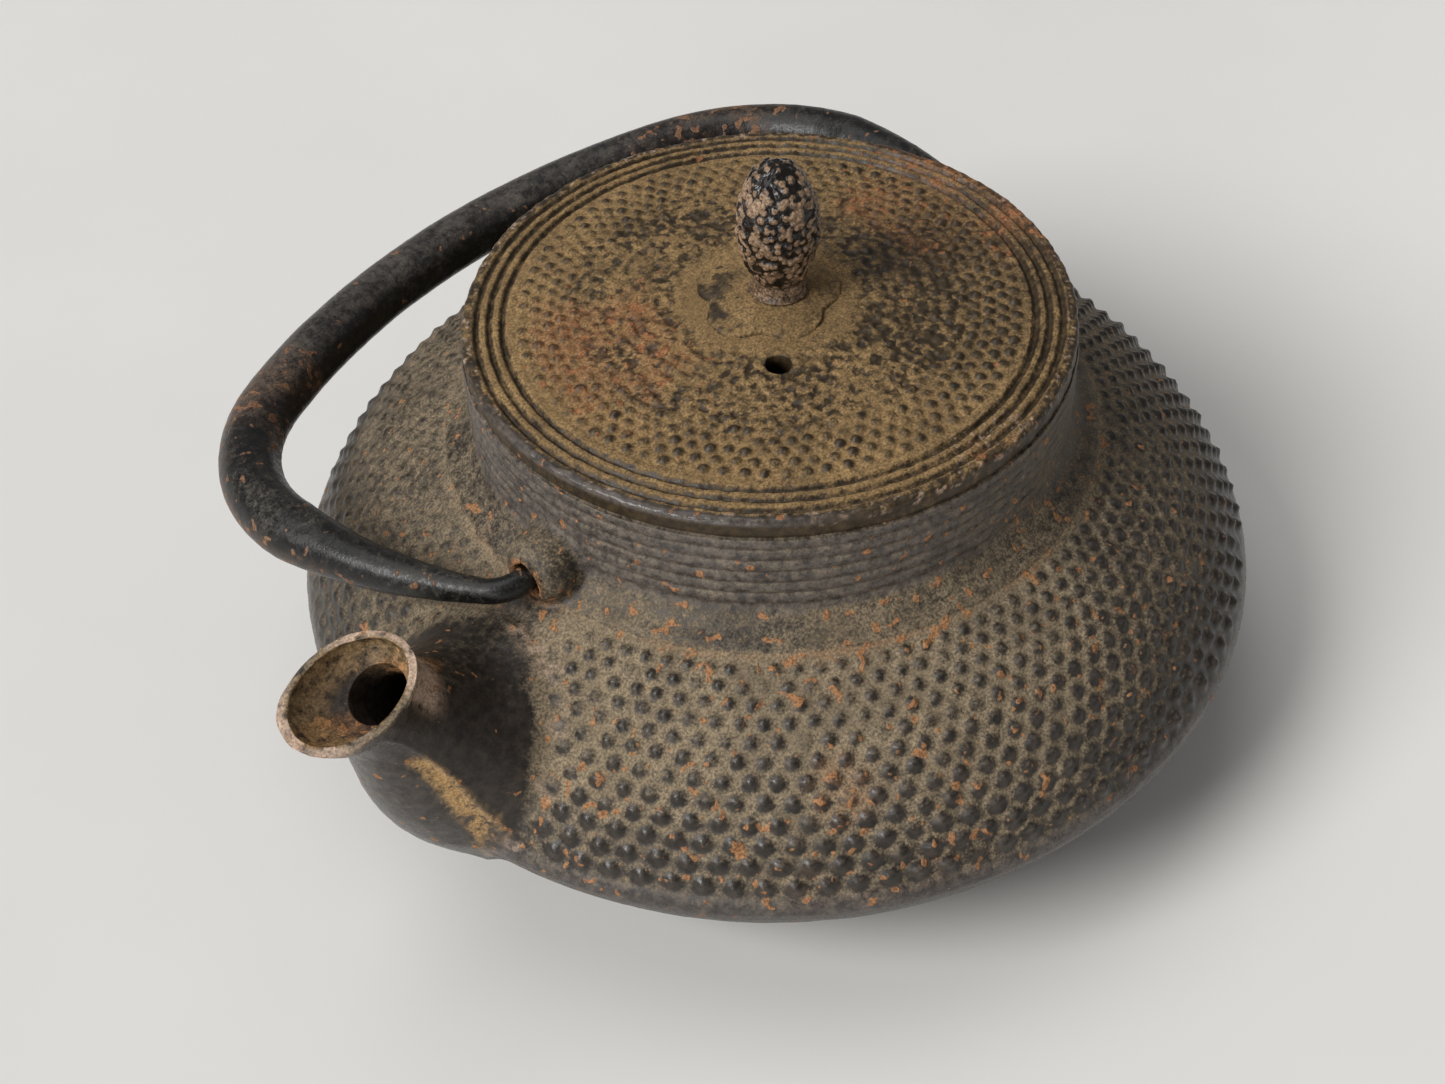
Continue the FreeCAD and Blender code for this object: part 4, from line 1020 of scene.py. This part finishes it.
def make_lid(material):
    """The lid with its dots, pits and crumbled edge raised, and the holes of the vent and the knob cut."""
    profile, columns, _ = lid_profile()
    skin, angles, rows, out = turned(profile, columns)
    points = skin.all_points()
    radius = from_axis(points)
    top = (rows >= np.argmax(profile[:, 1] > LID_EDGE_TOP - LID_ROUND)) & (points[:, 2] > LID_UNDER + 0.5)
    dots = np.where(top, dot_field(radius, angles), 0.0)
    inward = smooth(LOOSE_FROM, LOOSE_BY, radius)
    lift = (0.66 - 0.40 * inward) * dots - 0.14 * (radius < FIELD_RADIUS)
    lift += 0.32 * inward * smooth(11.0, 16.0, radius) * grain(points, 1.05, 2, 61.0)
    lift = np.where(top, lift, 0.0)
    lift += np.where(top & (radius > FIELD_RADIUS), 0.25 * grain(points, 1.5, 3, 65.0) - 0.04, 0.0)
    lift += np.where(top, 0.10 * grain(points, 1.2, 3, 2.0) + 0.12 * grain(points, 8.0, 2, 3.0), 0.0)
    edge = (radius > LID_RADIUS - 1.6) & (points[:, 2] > RIM_HEIGHT + 0.3)
    crumbled = 1.0 - 0.85 * rubbed_rim(np.degrees(angles))
    lift += np.where(edge, crumbled * (0.34 * np.minimum(grain(points, 1.9, 3, 71.0), 0.15)) - 0.08, 0.0)
    lift = np.where(radius < 1e-6, 0.0, lift)
    data = skin.mesh("lid_shell", points + out * lift[:, None])
    vent = np.array([VENT_OFFSET * math.cos(VENT_ANGLE), VENT_OFFSET * math.sin(VENT_ANGLE)])
    for centre, hole in ((vent, VENT_RADIUS), (np.array(KNOB_SHIFT), SHANK_RADIUS + 0.1)):
        rows = [(0.0, LID_UNDER - 2.0), (hole, LID_UNDER - 2.0), (hole, LID_TOP - 0.4)]
        rows += [(hole + 0.25, LID_TOP + 0.3), (hole + 0.3, LID_TOP + 2.0), (0.0, LID_TOP + 2.0)]
        cutter = turned(rows, [1] + [HOLE_COLUMNS] * 4 + [1], centre)[0]
        cutter_points = cutter.all_points()
        cutter_points[:, :2] += 0.10 * grain(cutter_points, 2.0, 2, 1.0)[:, None]
        data = combined(data, cutter.mesh("hole", cutter_points), "DIFFERENCE")
    data = without_slivers(data)
    data.name = "ringed_lid"
    mark_lid(data, vent)
    return new_piece(data, "lid", ["lid"], material)


def mark_lid(data, vent):
    """Dust, dark crowns, rust zones, crumbs and the rubbed rim of the lid, with painted shade in the pits, in
    the ring grooves and on the right side, and a painted highlight on the rim.
    """
    points, normals = points_of(data), normals_of(data)
    radius = from_axis(points)
    angle = np.degrees(np.arctan2(points[:, 1], points[:, 0])) % 360.0
    top = points[:, 2] > RIM_HEIGHT + 0.5
    crown = np.where(top & (normals[:, 2] > 0), dot_field(radius, np.radians(angle)), 0.0)
    inward = smooth(LOOSE_FROM, LOOSE_BY, radius)
    patchy = np.clip(0.85 + 0.6 * grain(points, 7.0, 2, 63.0), 0.45, 1.0)
    crown *= (0.78 - 0.22 * inward) * patchy
    # Dark pits in the inner field of the lid: painted shade.
    pit_shade = smooth(-0.02, 0.30, -grain(points, 1.05, 2, 61.0))
    crown = np.maximum(crown, 0.95 * inward * smooth(13.0, 18.0, radius) * pit_shade * patchy)
    mottle = grain(points, 10.0, 3, 81.0)
    dust = 0.10 + 0.62 * smooth(0.25, 0.97, normals[:, 2]) + 0.18 * mottle
    # Less dust and darker dots on the right side of the lid: painted shade.
    right_side_shade = smooth(60.0, 15.0, np.abs(angle - 128.0)) * smooth(14.0, 24.0, radius)
    dust -= 0.20 * right_side_shade
    crown = np.minimum(crown * (1.0 + 0.25 * right_side_shade), 1.0)
    # Dust is taken out of the ring grooves so that they read dark: painted shade.
    for groove in GROOVES:
        dust -= 0.55 * smooth(0.75, 0.1, np.abs(radius - groove - 0.1))
    side = (radius > LID_RADIUS - 0.7) | (points[:, 2] < LID_EDGE_TOP - 1.2)
    rim = smooth(LID_RADIUS - 2.1, LID_RADIUS - 1.4, radius) * top
    flecks = grain(points, 1.6, 3, 73.0)
    dust = blend(dust, 0.20 + 0.9 * flecks, rim)
    dust = np.where(side, 0.04 + 0.5 * np.maximum(flecks, -0.1), dust)
    rubbed = rubbed_rim(angle) * smooth(LID_RADIUS - 1.5, LID_RADIUS - 1.0, radius) * top
    crown = np.maximum(crown, rubbed)
    dust -= 0.5 * rubbed
    left = smooth(62.0, 12.0, apart(angle, 335.0))
    back = smooth(50.0, 12.0, np.abs(angle - 172.0))
    dust -= 0.14 * back
    zone = left * smooth(11.0, 20.0, radius) * smooth(45.0, 36.0, radius)
    zone = np.maximum(zone, back * smooth(18.0, 30.0, radius))
    rust = 0.14 + 0.66 * zone * (0.75 + 0.6 * grain(points, 8.0, 3, 91.0))
    flake = smooth(14.0, 3.0, np.abs(angle - 86.0)) * smooth(40.0, 43.0, radius)
    rust += 0.40 * flake * (0.6 + grain(points, 5.0, 2, 93.0))
    rust += 0.12 * smooth(1.2, 0.2, np.abs(radius - LID_RADIUS + 1.0))
    hole = np.hypot(points[:, 0] - vent[0], points[:, 1] - vent[1])
    dust *= smooth(0.8 * VENT_RADIUS, 1.25 * VENT_RADIUS, hole) * 0.7 + 0.3
    dust, rust = np.where(top, dust, 0.1), np.where(top, rust, 0.15)
    crumbs = np.maximum(rim * (1 - rubbed), flake) * (points[:, 2] > LID_EDGE_TOP - 1.6)
    pale = 0.5 * crumbs * smooth(0.22, 0.5, grain(points, 0.7, 2, 77.0))
    # Grey on the rubbed stretch of the rim: a painted highlight on the rubbed iron.
    bare = 0.75 * rubbed * smooth(LID_EDGE_TOP - 1.4, LID_EDGE_TOP - 0.7, points[:, 2])
    set_marks(data, crown=crown, dust=dust, rust=rust, pale=pale, bare=bare)


def make_seat(material):
    """The five-petal washer under the knob, worn soft and dusty."""
    turn = turns(SEAT_COLUMNS)
    way = np.stack([np.cos(turn), np.sin(turn)], 1)
    half = math.pi / PETALS
    chord = PETAL_NOTCH * math.sin(half)
    bulge = PETAL_REACH - PETAL_NOTCH * math.cos(half)
    bow = (chord ** 2 + bulge ** 2) / 2 / bulge
    off = PETAL_REACH - bow
    folded = np.abs((turn + half) % (2 * half) - half)
    reach = off * np.cos(folded) + np.sqrt(bow ** 2 - (off * np.sin(folded)) ** 2)
    reach = reach + 0.5 * smooth(0.12, 0.0, half - folded)
    skin, rings = Skin(), []
    centre = np.array(KNOB_SHIFT)
    inner = centre + (SHANK_RADIUS + 0.1) * way
    rows = [(0.0, LID_TOP - 0.25), (1.0, LID_TOP - 0.25), (1.0, SEAT_TOP - SEAT_ROUND)]
    for tilt in np.radians((25.0, 50.0, 75.0)):
        inset = SEAT_ROUND * (1 - math.cos(tilt)) / PETAL_REACH
        rows.append((1.0 - inset, SEAT_TOP - SEAT_ROUND * (1 - math.sin(tilt))))
    rows += [(share, SEAT_TOP) for share in np.linspace(0.92, 0.0, 14)]
    for share, height in rows:
        flat = blend(inner, reach[:, None] * way, share)
        rings.append(skin.ring(np.column_stack([flat, np.full(SEAT_COLUMNS, height)])))
    skin.stack(rings + [rings[0]])
    points = skin.all_points()
    wave = grain(points, 3.0, 3, 15.0)
    groove = smooth(0.35, 0.0, np.abs(np.tile(half - folded, len(rows)))) * (points[:, 2] > LID_TOP + 0.8)
    outward = smooth(5.0, PETAL_REACH, from_axis(points))
    raised = points[:, 2] > LID_TOP + 0.3
    points[:, 2] += np.where(raised, 0.34 * wave - 0.16 - 0.20 * groove - 1.12 * outward, 0.0)
    points[:, :2] *= 1.0 - 0.02 * outward[:, None] + 0.07 * np.minimum(wave, 0.25)[:, None] * outward[:, None]
    data = skin.mesh("petal_seat", points)
    normals = normals_of(data)
    ragged = grain(points, 2.2, 3, 7.0)
    away = from_axis(points[:, :2] - centre)
    left = smooth(2.0, 7.0, points[:, 0] * 0.75 - points[:, 1] * 0.65)
    crown = (0.25 + 0.5 * left) * smooth(-0.1, 0.35, ragged) * smooth(4.0, 8.0, away)
    dust = 0.50 + 0.18 * smooth(0.2, 0.95, normals[:, 2]) + 0.25 * ragged
    set_marks(data, crown=crown, dust=dust, rust=0.15 + 0.2 * grain(points, 6.0, 2, 17.0))
    return new_piece(data, "lid", ["knob_seat"], material)


def make_knob(material):
    """The bulb with its pitted, cone-like skin, foot, shank and riveted end."""
    low_drop, high_drop = BULB_RADIUS - WAIST_RADIUS, BULB_RADIUS - TIP_RADIUS
    low_rise, high_rise = WIDEST_HEIGHT - WAIST_HEIGHT, TIP_FOOT - WIDEST_HEIGHT
    tip_rise = KNOB_TOP - TIP_FOOT
    foot = arc((STEM_RADIUS, SEAT_TOP), (WAIST_RADIUS, WAIST_HEIGHT), 2 * (WAIST_HEIGHT - SEAT_TOP), -1, 12)
    low_arc = (low_rise ** 2 + low_drop ** 2) / 2 / low_drop
    high_arc = (high_rise ** 2 + high_drop ** 2) / 2 / high_drop
    tip_arc = (TIP_RADIUS ** 2 + tip_rise ** 2) / 2 / tip_rise
    low = arc((WAIST_RADIUS, WAIST_HEIGHT), (BULB_RADIUS, WIDEST_HEIGHT), low_arc, 1, 42)
    high = arc((BULB_RADIUS, WIDEST_HEIGHT), (TIP_RADIUS, TIP_FOOT), high_arc, 1, 40)
    tip = arc((TIP_RADIUS, TIP_FOOT), (0.0, KNOB_TOP), tip_arc, 1, 22)
    below = [(0.0, RIVET_FOOT), (RIVET_RADIUS - 0.8, RIVET_FOOT), (RIVET_RADIUS, RIVET_FOOT + 0.6)]
    below += [(RIVET_RADIUS, WASHER_FOOT), (SHANK_RADIUS, WASHER_FOOT), (SHANK_RADIUS, SEAT_TOP)]
    profile = np.vstack([below, foot, low[1:], high[1:], tip[1:-1], [(0.0, KNOB_TOP)]])
    columns = [1] + [KNOB_COLUMNS] * (len(profile) - 2) + [1]
    skin, _, _, out = turned(profile, columns, KNOB_SHIFT)
    points = skin.all_points()
    draw = np.random.default_rng(KNOB_SEED)
    # Raised scales lie in loose staggered rings, like those of a cone, with dark pits between them.
    seeds = []
    for ring, height in enumerate(np.arange(WAIST_HEIGHT + 1.0, KNOB_TOP, 1.1)):
        radius = np.interp(height, profile[len(below):, 1], profile[len(below):, 0])
        count = max(4, int(round(2 * math.pi * radius / 1.5)))
        turn = (np.arange(count) + 0.5 * (ring % 2) + draw.normal(0, 0.3, count)) * 2 * math.pi / count
        seeds.append(np.stack([
            KNOB_SHIFT[0] + radius * np.cos(turn), KNOB_SHIFT[1] + radius * np.sin(turn),
            height + draw.normal(0, 0.4, count)], 1))
    fine = grain(points, 1.5, 3, 19.0)
    gap = near(points, np.concatenate(seeds)) * (1.0 + 0.55 * fine)
    scale = np.clip(1.0 - (gap / 0.95) ** 2, 0.0, 1.0)
    bulb = smooth(WAIST_HEIGHT - 0.5, WAIST_HEIGHT + 1.5, points[:, 2])
    lift = bulb * (0.40 * scale - 0.5 + 0.38 * fine) + (1 - bulb) * (points[:, 2] > SEAT_TOP) * 0.15 * fine
    lift = np.where(points[:, 2] > SEAT_TOP + 0.05, lift, 0.0)
    data = skin.mesh("pitted_knob", points + out * lift[:, None])
    crown = bulb * smooth(0.70, 0.25, scale + 0.8 * grain(points, 1.4, 2, 25.0))
    dust = 0.46 + 0.20 * bulb + 0.2 * fine
    set_marks(data, crown=crown, dust=dust, rust=0.12 + 0.3 * grain(points, 4.0, 2, 29.0))
    return new_piece(data, "lid", ["lid_knob"], material)


# The bail

def bail_line():
    """Points along half of the bail's centre line in its own plane, with the radius at each."""
    lean = math.asin((EAR_REACH + BAIL_ARM_ARC - BAIL_HALF_WIDTH) / (BAIL_ARM_ARC - BAIL_BEND))
    arm_reach = BAIL_BEND + (BAIL_ARM_ARC - BAIL_BEND) * math.cos(lean)
    rest = BAIL_HEIGHT - arm_reach
    corner = BAIL_CORNER_SHARE * rest
    corner_middle = np.array([BAIL_HALF_WIDTH - corner, -arm_reach])
    arch = (corner_middle[0] ** 2 + rest ** 2 - corner ** 2) / 2 / (rest - corner)
    arch_turn = math.asin(corner_middle[0] / (arch - corner))
    tip = (EAR_REACH - EAR_DEPTH + BAIL_TIP_GAP, 0.0)
    bend_end = (EAR_REACH + BAIL_BEND * math.sin(lean), -BAIL_BEND * (1 - math.cos(lean)))
    turn_end = corner_middle + corner * np.array([math.sin(arch_turn), -math.cos(arch_turn)])
    stretches = [
        line(tip, (EAR_REACH, 0.0), 8),
        arc((EAR_REACH, 0.0), bend_end, BAIL_BEND, -1, 14),
        arc(bend_end, (BAIL_HALF_WIDTH, -arm_reach), BAIL_ARM_ARC, -1, 60),
        arc((BAIL_HALF_WIDTH, -arm_reach), turn_end, corner, -1, 70),
        arc(turn_end, (0.0, -BAIL_HEIGHT), arch, -1, 60),
    ]
    grip, thin = BAIL_GRIP_RADIUS, BAIL_TIP_RADIUS
    ends = ((thin, thin), (thin, thin), (thin, grip), (grip, grip), (grip, grip))
    radii = [np.linspace(*pair, len(stretch)) for pair, stretch in zip(ends, stretches)]
    return [np.concatenate([part[:-1] for part in parts[:-1]] + [parts[-1]]) for parts in (stretches, radii)]


def make_bail(material):
    """The bail as one round bar, with forged unevenness, rust in its bends and a grip rubbed by hands,
    painted with a grey sheen on its upper side.
    """
    half, half_radii = bail_line()
    places = np.vstack([half, half[-2::-1] * (-1, 1)])
    radii = np.concatenate([half_radii, half_radii[-2::-1]])
    ways = np.gradient(places, axis=0)
    ways /= np.hypot(ways[:, 0], ways[:, 1])[:, None]
    side = np.stack([ways[:, 1], -ways[:, 0]], 1)
    turn = turns(BAIL_COLUMNS)
    narrow = BAIL_END_SHARE * BAIL_TIP_RADIUS - BAIL_END_TRIM
    skin = Skin()
    rings = [skin.ring([[*places[0], 0.0]]), skin.ring(bar_ring(places[0], side[0], narrow, turn))]
    rings += [skin.ring(bar_ring(*station, turn)) for station in zip(places, side, radii)]
    rings += [skin.ring(bar_ring(places[-1], side[-1], narrow, turn)), skin.ring([[*places[-1], 0.0]])]
    skin.stack(rings[::-1])
    points = skin.all_points()
    sizes = np.array([len(ring) for ring in rings])
    index = np.repeat(np.clip(np.arange(len(rings)) - 2, 0, len(places) - 1), sizes)
    out = points - np.column_stack([places[index], np.zeros(len(points))])
    out /= np.maximum(np.linalg.norm(out, axis=1), 1e-6)[:, None]
    sideward = np.abs(points[:, 0])
    free = smooth(EAR_REACH + 0.5, EAR_REACH + 6.0, sideward) + smooth(8.0, 14.0, -points[:, 1])
    free = np.clip(free, 0.0, 1.0)
    lift = free * (0.16 * grain(points, 14.0, 2, 1.0) + 0.06 * grain(points, 1.6, 3, 2.0) - 0.12)
    points = points + out * lift[:, None]
    tilted = points.copy()
    tilted[:, 1] = points[:, 1] * math.cos(BAIL_REST) - points[:, 2] * math.sin(BAIL_REST)
    tilted[:, 2] = points[:, 1] * math.sin(BAIL_REST) + points[:, 2] * math.cos(BAIL_REST) + HINGE_HEIGHT
    data = skin.mesh("iron_bail", tilted)
    upward = normals_of(data)[:, 2]
    reach, sideward = -points[:, 1], np.abs(points[:, 0])
    corner = smooth(22.0, 5.0, np.abs(reach - 67.0)) * (sideward > 40.0)
    skirting = smooth(26.0, 12.0, np.abs(reach - 38.0)) * smooth(0.65, 0.15, upward)
    rough = grain(points, 7.0, 3, 33.0)
    rust = 0.06 + 0.48 * corner + 0.24 * rough + 0.44 * skirting
    rust += 0.30 * smooth(EAR_REACH + 5.0, EAR_REACH - 1.0, sideward) * (reach < 10.0)
    # Extra dust on the upper side towards the arch is partly a painted sheen.
    dust = 0.06 + (0.10 + 0.12 * smooth(60.0, 76.0, reach)) * smooth(0.45, 0.95, upward) + 0.30 * rough
    # Grey on the upper side of the grip: partly worn by hands, partly a painted highlight.
    bare = 0.46 * smooth(56.0, 80.0, reach) * smooth(0.25, 0.85, upward) * (0.8 + 0.6 * rough)
    set_marks(data, dust=dust, rust=rust, bare=bare)
    return new_piece(data, "bail", ["bail_handle"], material)


def bar_ring(place, away, radius, turn):
    """One round of the bail's bar, across its way."""
    flat = place + np.outer(radius * np.cos(turn), away)
    return np.column_stack([flat, radius * np.sin(turn)])


# Materials

def colour(red, green, blue):
    """A shader colour from the usual 0 to 255 screen values."""
    shares = [value / 255 for value in (red, green, blue)]
    linear = [share / 12.92 if share <= 0.04045 else ((share + 0.055) / 1.055) ** 2.4 for share in shares]
    return (*linear, 1.0)


class Shader:
    """Short hand for building one node material."""

    def __init__(self, name):
        self.material = bpy.data.materials.new(name)
        self.material.use_nodes = True
        self.tree = self.material.node_tree
        self.surface = self.tree.nodes["Principled BSDF"]
        self.place = self.node("TexCoord", "Object", {})

    def feed(self, inputs, values):
        """Sets inputs, by name or number, to a constant or to another node's output."""
        for key, value in values.items():
            if isinstance(value, bpy.types.NodeSocket):
                self.tree.links.new(value, inputs[key])
            else:
                inputs[key].default_value = value

    def node(self, kind, output, values, **settings):
        """One output of a new node."""
        node = self.tree.nodes.new("ShaderNode" + kind)
        for name, setting in settings.items():
            setattr(node, name, setting)
        self.feed(node.inputs, values)
        return node.outputs[output]

    def mark(self, name):
        return self.node("Attribute", "Fac", {}, attribute_name=name)

    def noise(self, size_mm, detail=4.0, roughness=0.6, stretch=None):
        place = self.place
        if stretch:
            place = self.node("Mapping", "Vector", {"Vector": place, "Scale": stretch})
        values = {"Vector": place, "Scale": 1000.0 / size_mm, "Detail": detail, "Roughness": roughness}
        return self.node("TexNoise", "Fac", values)

    def math(self, kind, first, second=0.0, clamp=False):
        return self.node("Math", 0, {0: first, 1: second}, operation=kind, use_clamp=clamp)

    def ramp(self, value, low, high, out_low=0.0, out_high=1.0):
        """Soft step of a value between two levels."""
        values = {"Value": value, "From Min": low, "From Max": high, "To Min": out_low, "To Max": out_high}
        return self.node("MapRange", "Result", values, interpolation_type="SMOOTHSTEP")

    def mix(self, share, first, second):
        return self.node("Mix", 2, {"Factor": share, 6: first, 7: second}, data_type="RGBA")

    def speckle(self, noise, low, high, dark, light):
        """Two screen colours, parted by a noise."""
        return self.mix(self.ramp(noise, low, high), colour(*dark), colour(*light))

    def bump(self, height, distance_mm, strength=1.0, before=None):
        values = {"Strength": strength, "Distance": distance_mm * MM, "Height": height}
        if before:
            values["Normal"] = before
        return self.node("Bump", "Normal", values)

    def finish(self, base, roughness, normal):
        self.feed(self.surface.inputs, {"Base Color": base, "Roughness": roughness, "Normal": normal})
        return self.material


def old_iron(name, metals, dusts, rusts, gloss, matt, shine, crown_wear, rust_level):
    """Old black iron: dark crowns and painted shade, tan dust, rust, dried tea, pale crust, and grey both
    where hands rubbed it and where sheen and highlights are painted.
    """
    shader = Shader(name)
    crown, dust, rust = shader.mark("crown"), shader.mark("dust"), shader.mark("rust")
    stain, pale, bare = shader.mark("stain"), shader.mark("pale"), shader.mark("bare")
    broad = shader.noise(7.0, 4.0)
    middle = shader.noise(1.5, 5.0, 0.65)
    fine = shader.noise(0.42, 3.0, 0.7)
    metal = shader.speckle(middle, 0.3, 0.75, *metals)
    powder = shader.speckle(fine, 0.32, 0.68, *dusts)
    powder = shader.mix(shader.ramp(broad, 0.35, 0.7, 0.0, 0.5), powder, colour(*dusts[0]))
    # Dark iron shows on worn crowns and where shade is painted.
    settled = shader.math("SUBTRACT", dust, shader.math("MULTIPLY", crown, crown_wear))
    settled = shader.math("ADD", settled, shader.ramp(middle, 0.25, 0.75, -0.22, 0.22))
    settled = shader.math("ADD", settled, shader.ramp(fine, 0.3, 0.7, -0.12, 0.12), clamp=True)
    base = shader.mix(shader.ramp(settled, 0.05, 0.85), metal, powder)
    # Grey of iron rubbed bare, also used for painted sheen and painted highlights.
    bare_and_sheen_grey = shader.speckle(middle, 0.3, 0.7, (66, 61, 59), (104, 97, 92))
    base = shader.mix(shader.math("MULTIPLY", bare, 0.85), base, bare_and_sheen_grey)
    # Rust: broad stained patches and small crisp grains.
    patches = shader.math("MULTIPLY", shader.ramp(rust, 0.38, 0.95), shader.ramp(middle, 0.30, 0.62))
    grains = shader.math("ADD", shader.noise(2.1, 1.4, 0.5), shader.math("MULTIPLY", rust, 0.24))
    grains = shader.math("MULTIPLY", shader.ramp(grains, rust_level, rust_level + 0.05), 0.85)
    red = shader.speckle(fine, 0.35, 0.65, *rusts)
    base = shader.mix(shader.math("MULTIPLY", patches, 0.66), base, red)
    base = shader.mix(grains, base, red)
    ochre = shader.speckle(fine, 0.3, 0.7, (138, 104, 60), (200, 162, 108))
    base = shader.mix(shader.math("MULTIPLY", stain, shader.ramp(middle, 0.3, 0.55)), base, ochre)
    chalk = shader.speckle(fine, 0.3, 0.7, (150, 122, 100), (214, 188, 166))
    base = shader.mix(shader.math("MULTIPLY", pale, shader.ramp(middle, 0.3, 0.5)), base, chalk)
    rough = shader.ramp(settled, 0.0, 0.7, gloss, matt)
    rough = shader.math("SUBTRACT", rough, shader.math("MULTIPLY", bare, 0.22))
    rough = shader.math("MAXIMUM", rough, shader.math("MULTIPLY", grains, 0.85))
    rough = shader.math("ADD", rough, shader.ramp(fine, 0.3, 0.7, -0.07, 0.07), clamp=True)
    normal = shader.bump(middle, 0.16, 0.55)
    normal = shader.bump(fine, 0.07, 0.6, normal)
    normal = shader.bump(grains, 0.10, 0.8, normal)
    shader.surface.inputs["Specular IOR Level"].default_value = shine
    return shader.finish(base, rough, normal)


def brushed_steel():
    """Thin stainless sheet of the infuser, brushed round its axis."""
    shader = Shader("infuser_steel_brushed")
    brush = shader.noise(6.0, 4.0, 0.6, (1.0, 1.0, 30.0))
    stain = shader.noise(14.0, 4.0)
    base = shader.speckle(stain, 0.4, 0.7, (196, 194, 188), (168, 158, 140))
    base = shader.mix(shader.ramp(brush, 0.35, 0.65, 0.0, 0.25), base, colour(120, 118, 112))
    shader.surface.inputs["Metallic"].default_value = 1.0
    rough = shader.ramp(brush, 0.3, 0.7, 0.24, 0.42)
    return shader.finish(base, rough, shader.bump(brush, 0.02, 0.4))


def pale_floor():
    """Matt pale board."""
    shader = Shader("pale_floor")
    tone = shader.mix(shader.noise(90.0, 3.0), colour(214, 212, 208), colour(222, 220, 216))
    shader.surface.inputs["Roughness"].default_value = 0.9
    shader.feed(shader.surface.inputs, {"Base Color": tone})
    return shader.material


# Stage

def add_floor():
    """A wide level board under the pot."""
    data = bpy.data.meshes.new("floor")
    corners = [(-1, -1), (1, -1), (1, 1), (-1, 1)]
    data.from_pydata([(x * FLOOR_HALF, y * FLOOR_HALF, 0) for x, y in corners], [], [(0, 1, 2, 3)])
    data.materials.append(pale_floor())
    floor = placed("floor", data)


def add_light(name, way, spread, strength):
    """A broad, even lamp far off on the side that way points to; spread is its width in radians."""
    data = bpy.data.lights.new(name, "SUN")
    data.angle = spread
    data.energy = strength
    lamp = placed(name, data)
    lamp.matrix_world = Vector(way).to_track_quat("Z", "Y").to_matrix().to_4x4()


def add_camera():
    """The photograph's viewpoint, in metres and radians."""
    place = (0.18776, 0.16906, 0.28081)
    heading, tilt, roll = -0.7691, 0.7907, -0.0474
    ahead = np.array([
        -math.cos(tilt) * math.cos(heading), math.cos(tilt) * math.sin(heading), -math.sin(tilt)])
    right = np.cross(ahead, (0.0, 0.0, 1.0))
    right /= np.linalg.norm(right)
    up = np.cross(right, ahead)
    rolled_right = math.cos(roll) * right + math.sin(roll) * up
    rolled_up = math.cos(roll) * up - math.sin(roll) * right
    data = bpy.data.cameras.new("camera")
    data.sensor_width = 36.0
    data.lens = 49.83
    data.clip_start, data.clip_end = 0.01, 20.0
    camera = placed("camera", data)
    columns = np.column_stack([rolled_right, rolled_up, -ahead])
    camera.matrix_world = Matrix.Translation(place) @ Matrix(columns.tolist()).to_4x4()
    bpy.context.scene.camera = camera


def add_world():
    """Dim, even light from all sides."""
    world = bpy.data.worlds.new("studio")
    world.use_nodes = True
    back = world.node_tree.nodes["Background"]
    back.inputs["Color"].default_value = colour(236, 236, 238)
    back.inputs["Strength"].default_value = 0.22
    bpy.context.scene.world = world


def main():
    """Builds the looks, the dressed pieces and the stage."""
    pot_look, lid_look, knob_look, bail_look = [old_iron(*look) for look in IRON_LOOKS]
    steel_look = brushed_steel()
    make_pot(pot_look)
    make_lid(lid_look)
    make_seat(lid_look)
    make_knob(knob_look)
    make_bail(bail_look)
    wear(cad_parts["knob_washer"].data, knob_look)
    for node in ("infuser_collar", "infuser_wall", "infuser_floor"):
        wear(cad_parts[node].data, steel_look)
    add_floor()
    for lamp in LAMPS:
        add_light(*lamp)
    add_camera()
    add_world()
    bpy.context.scene.view_settings.view_transform = "Standard"


main()
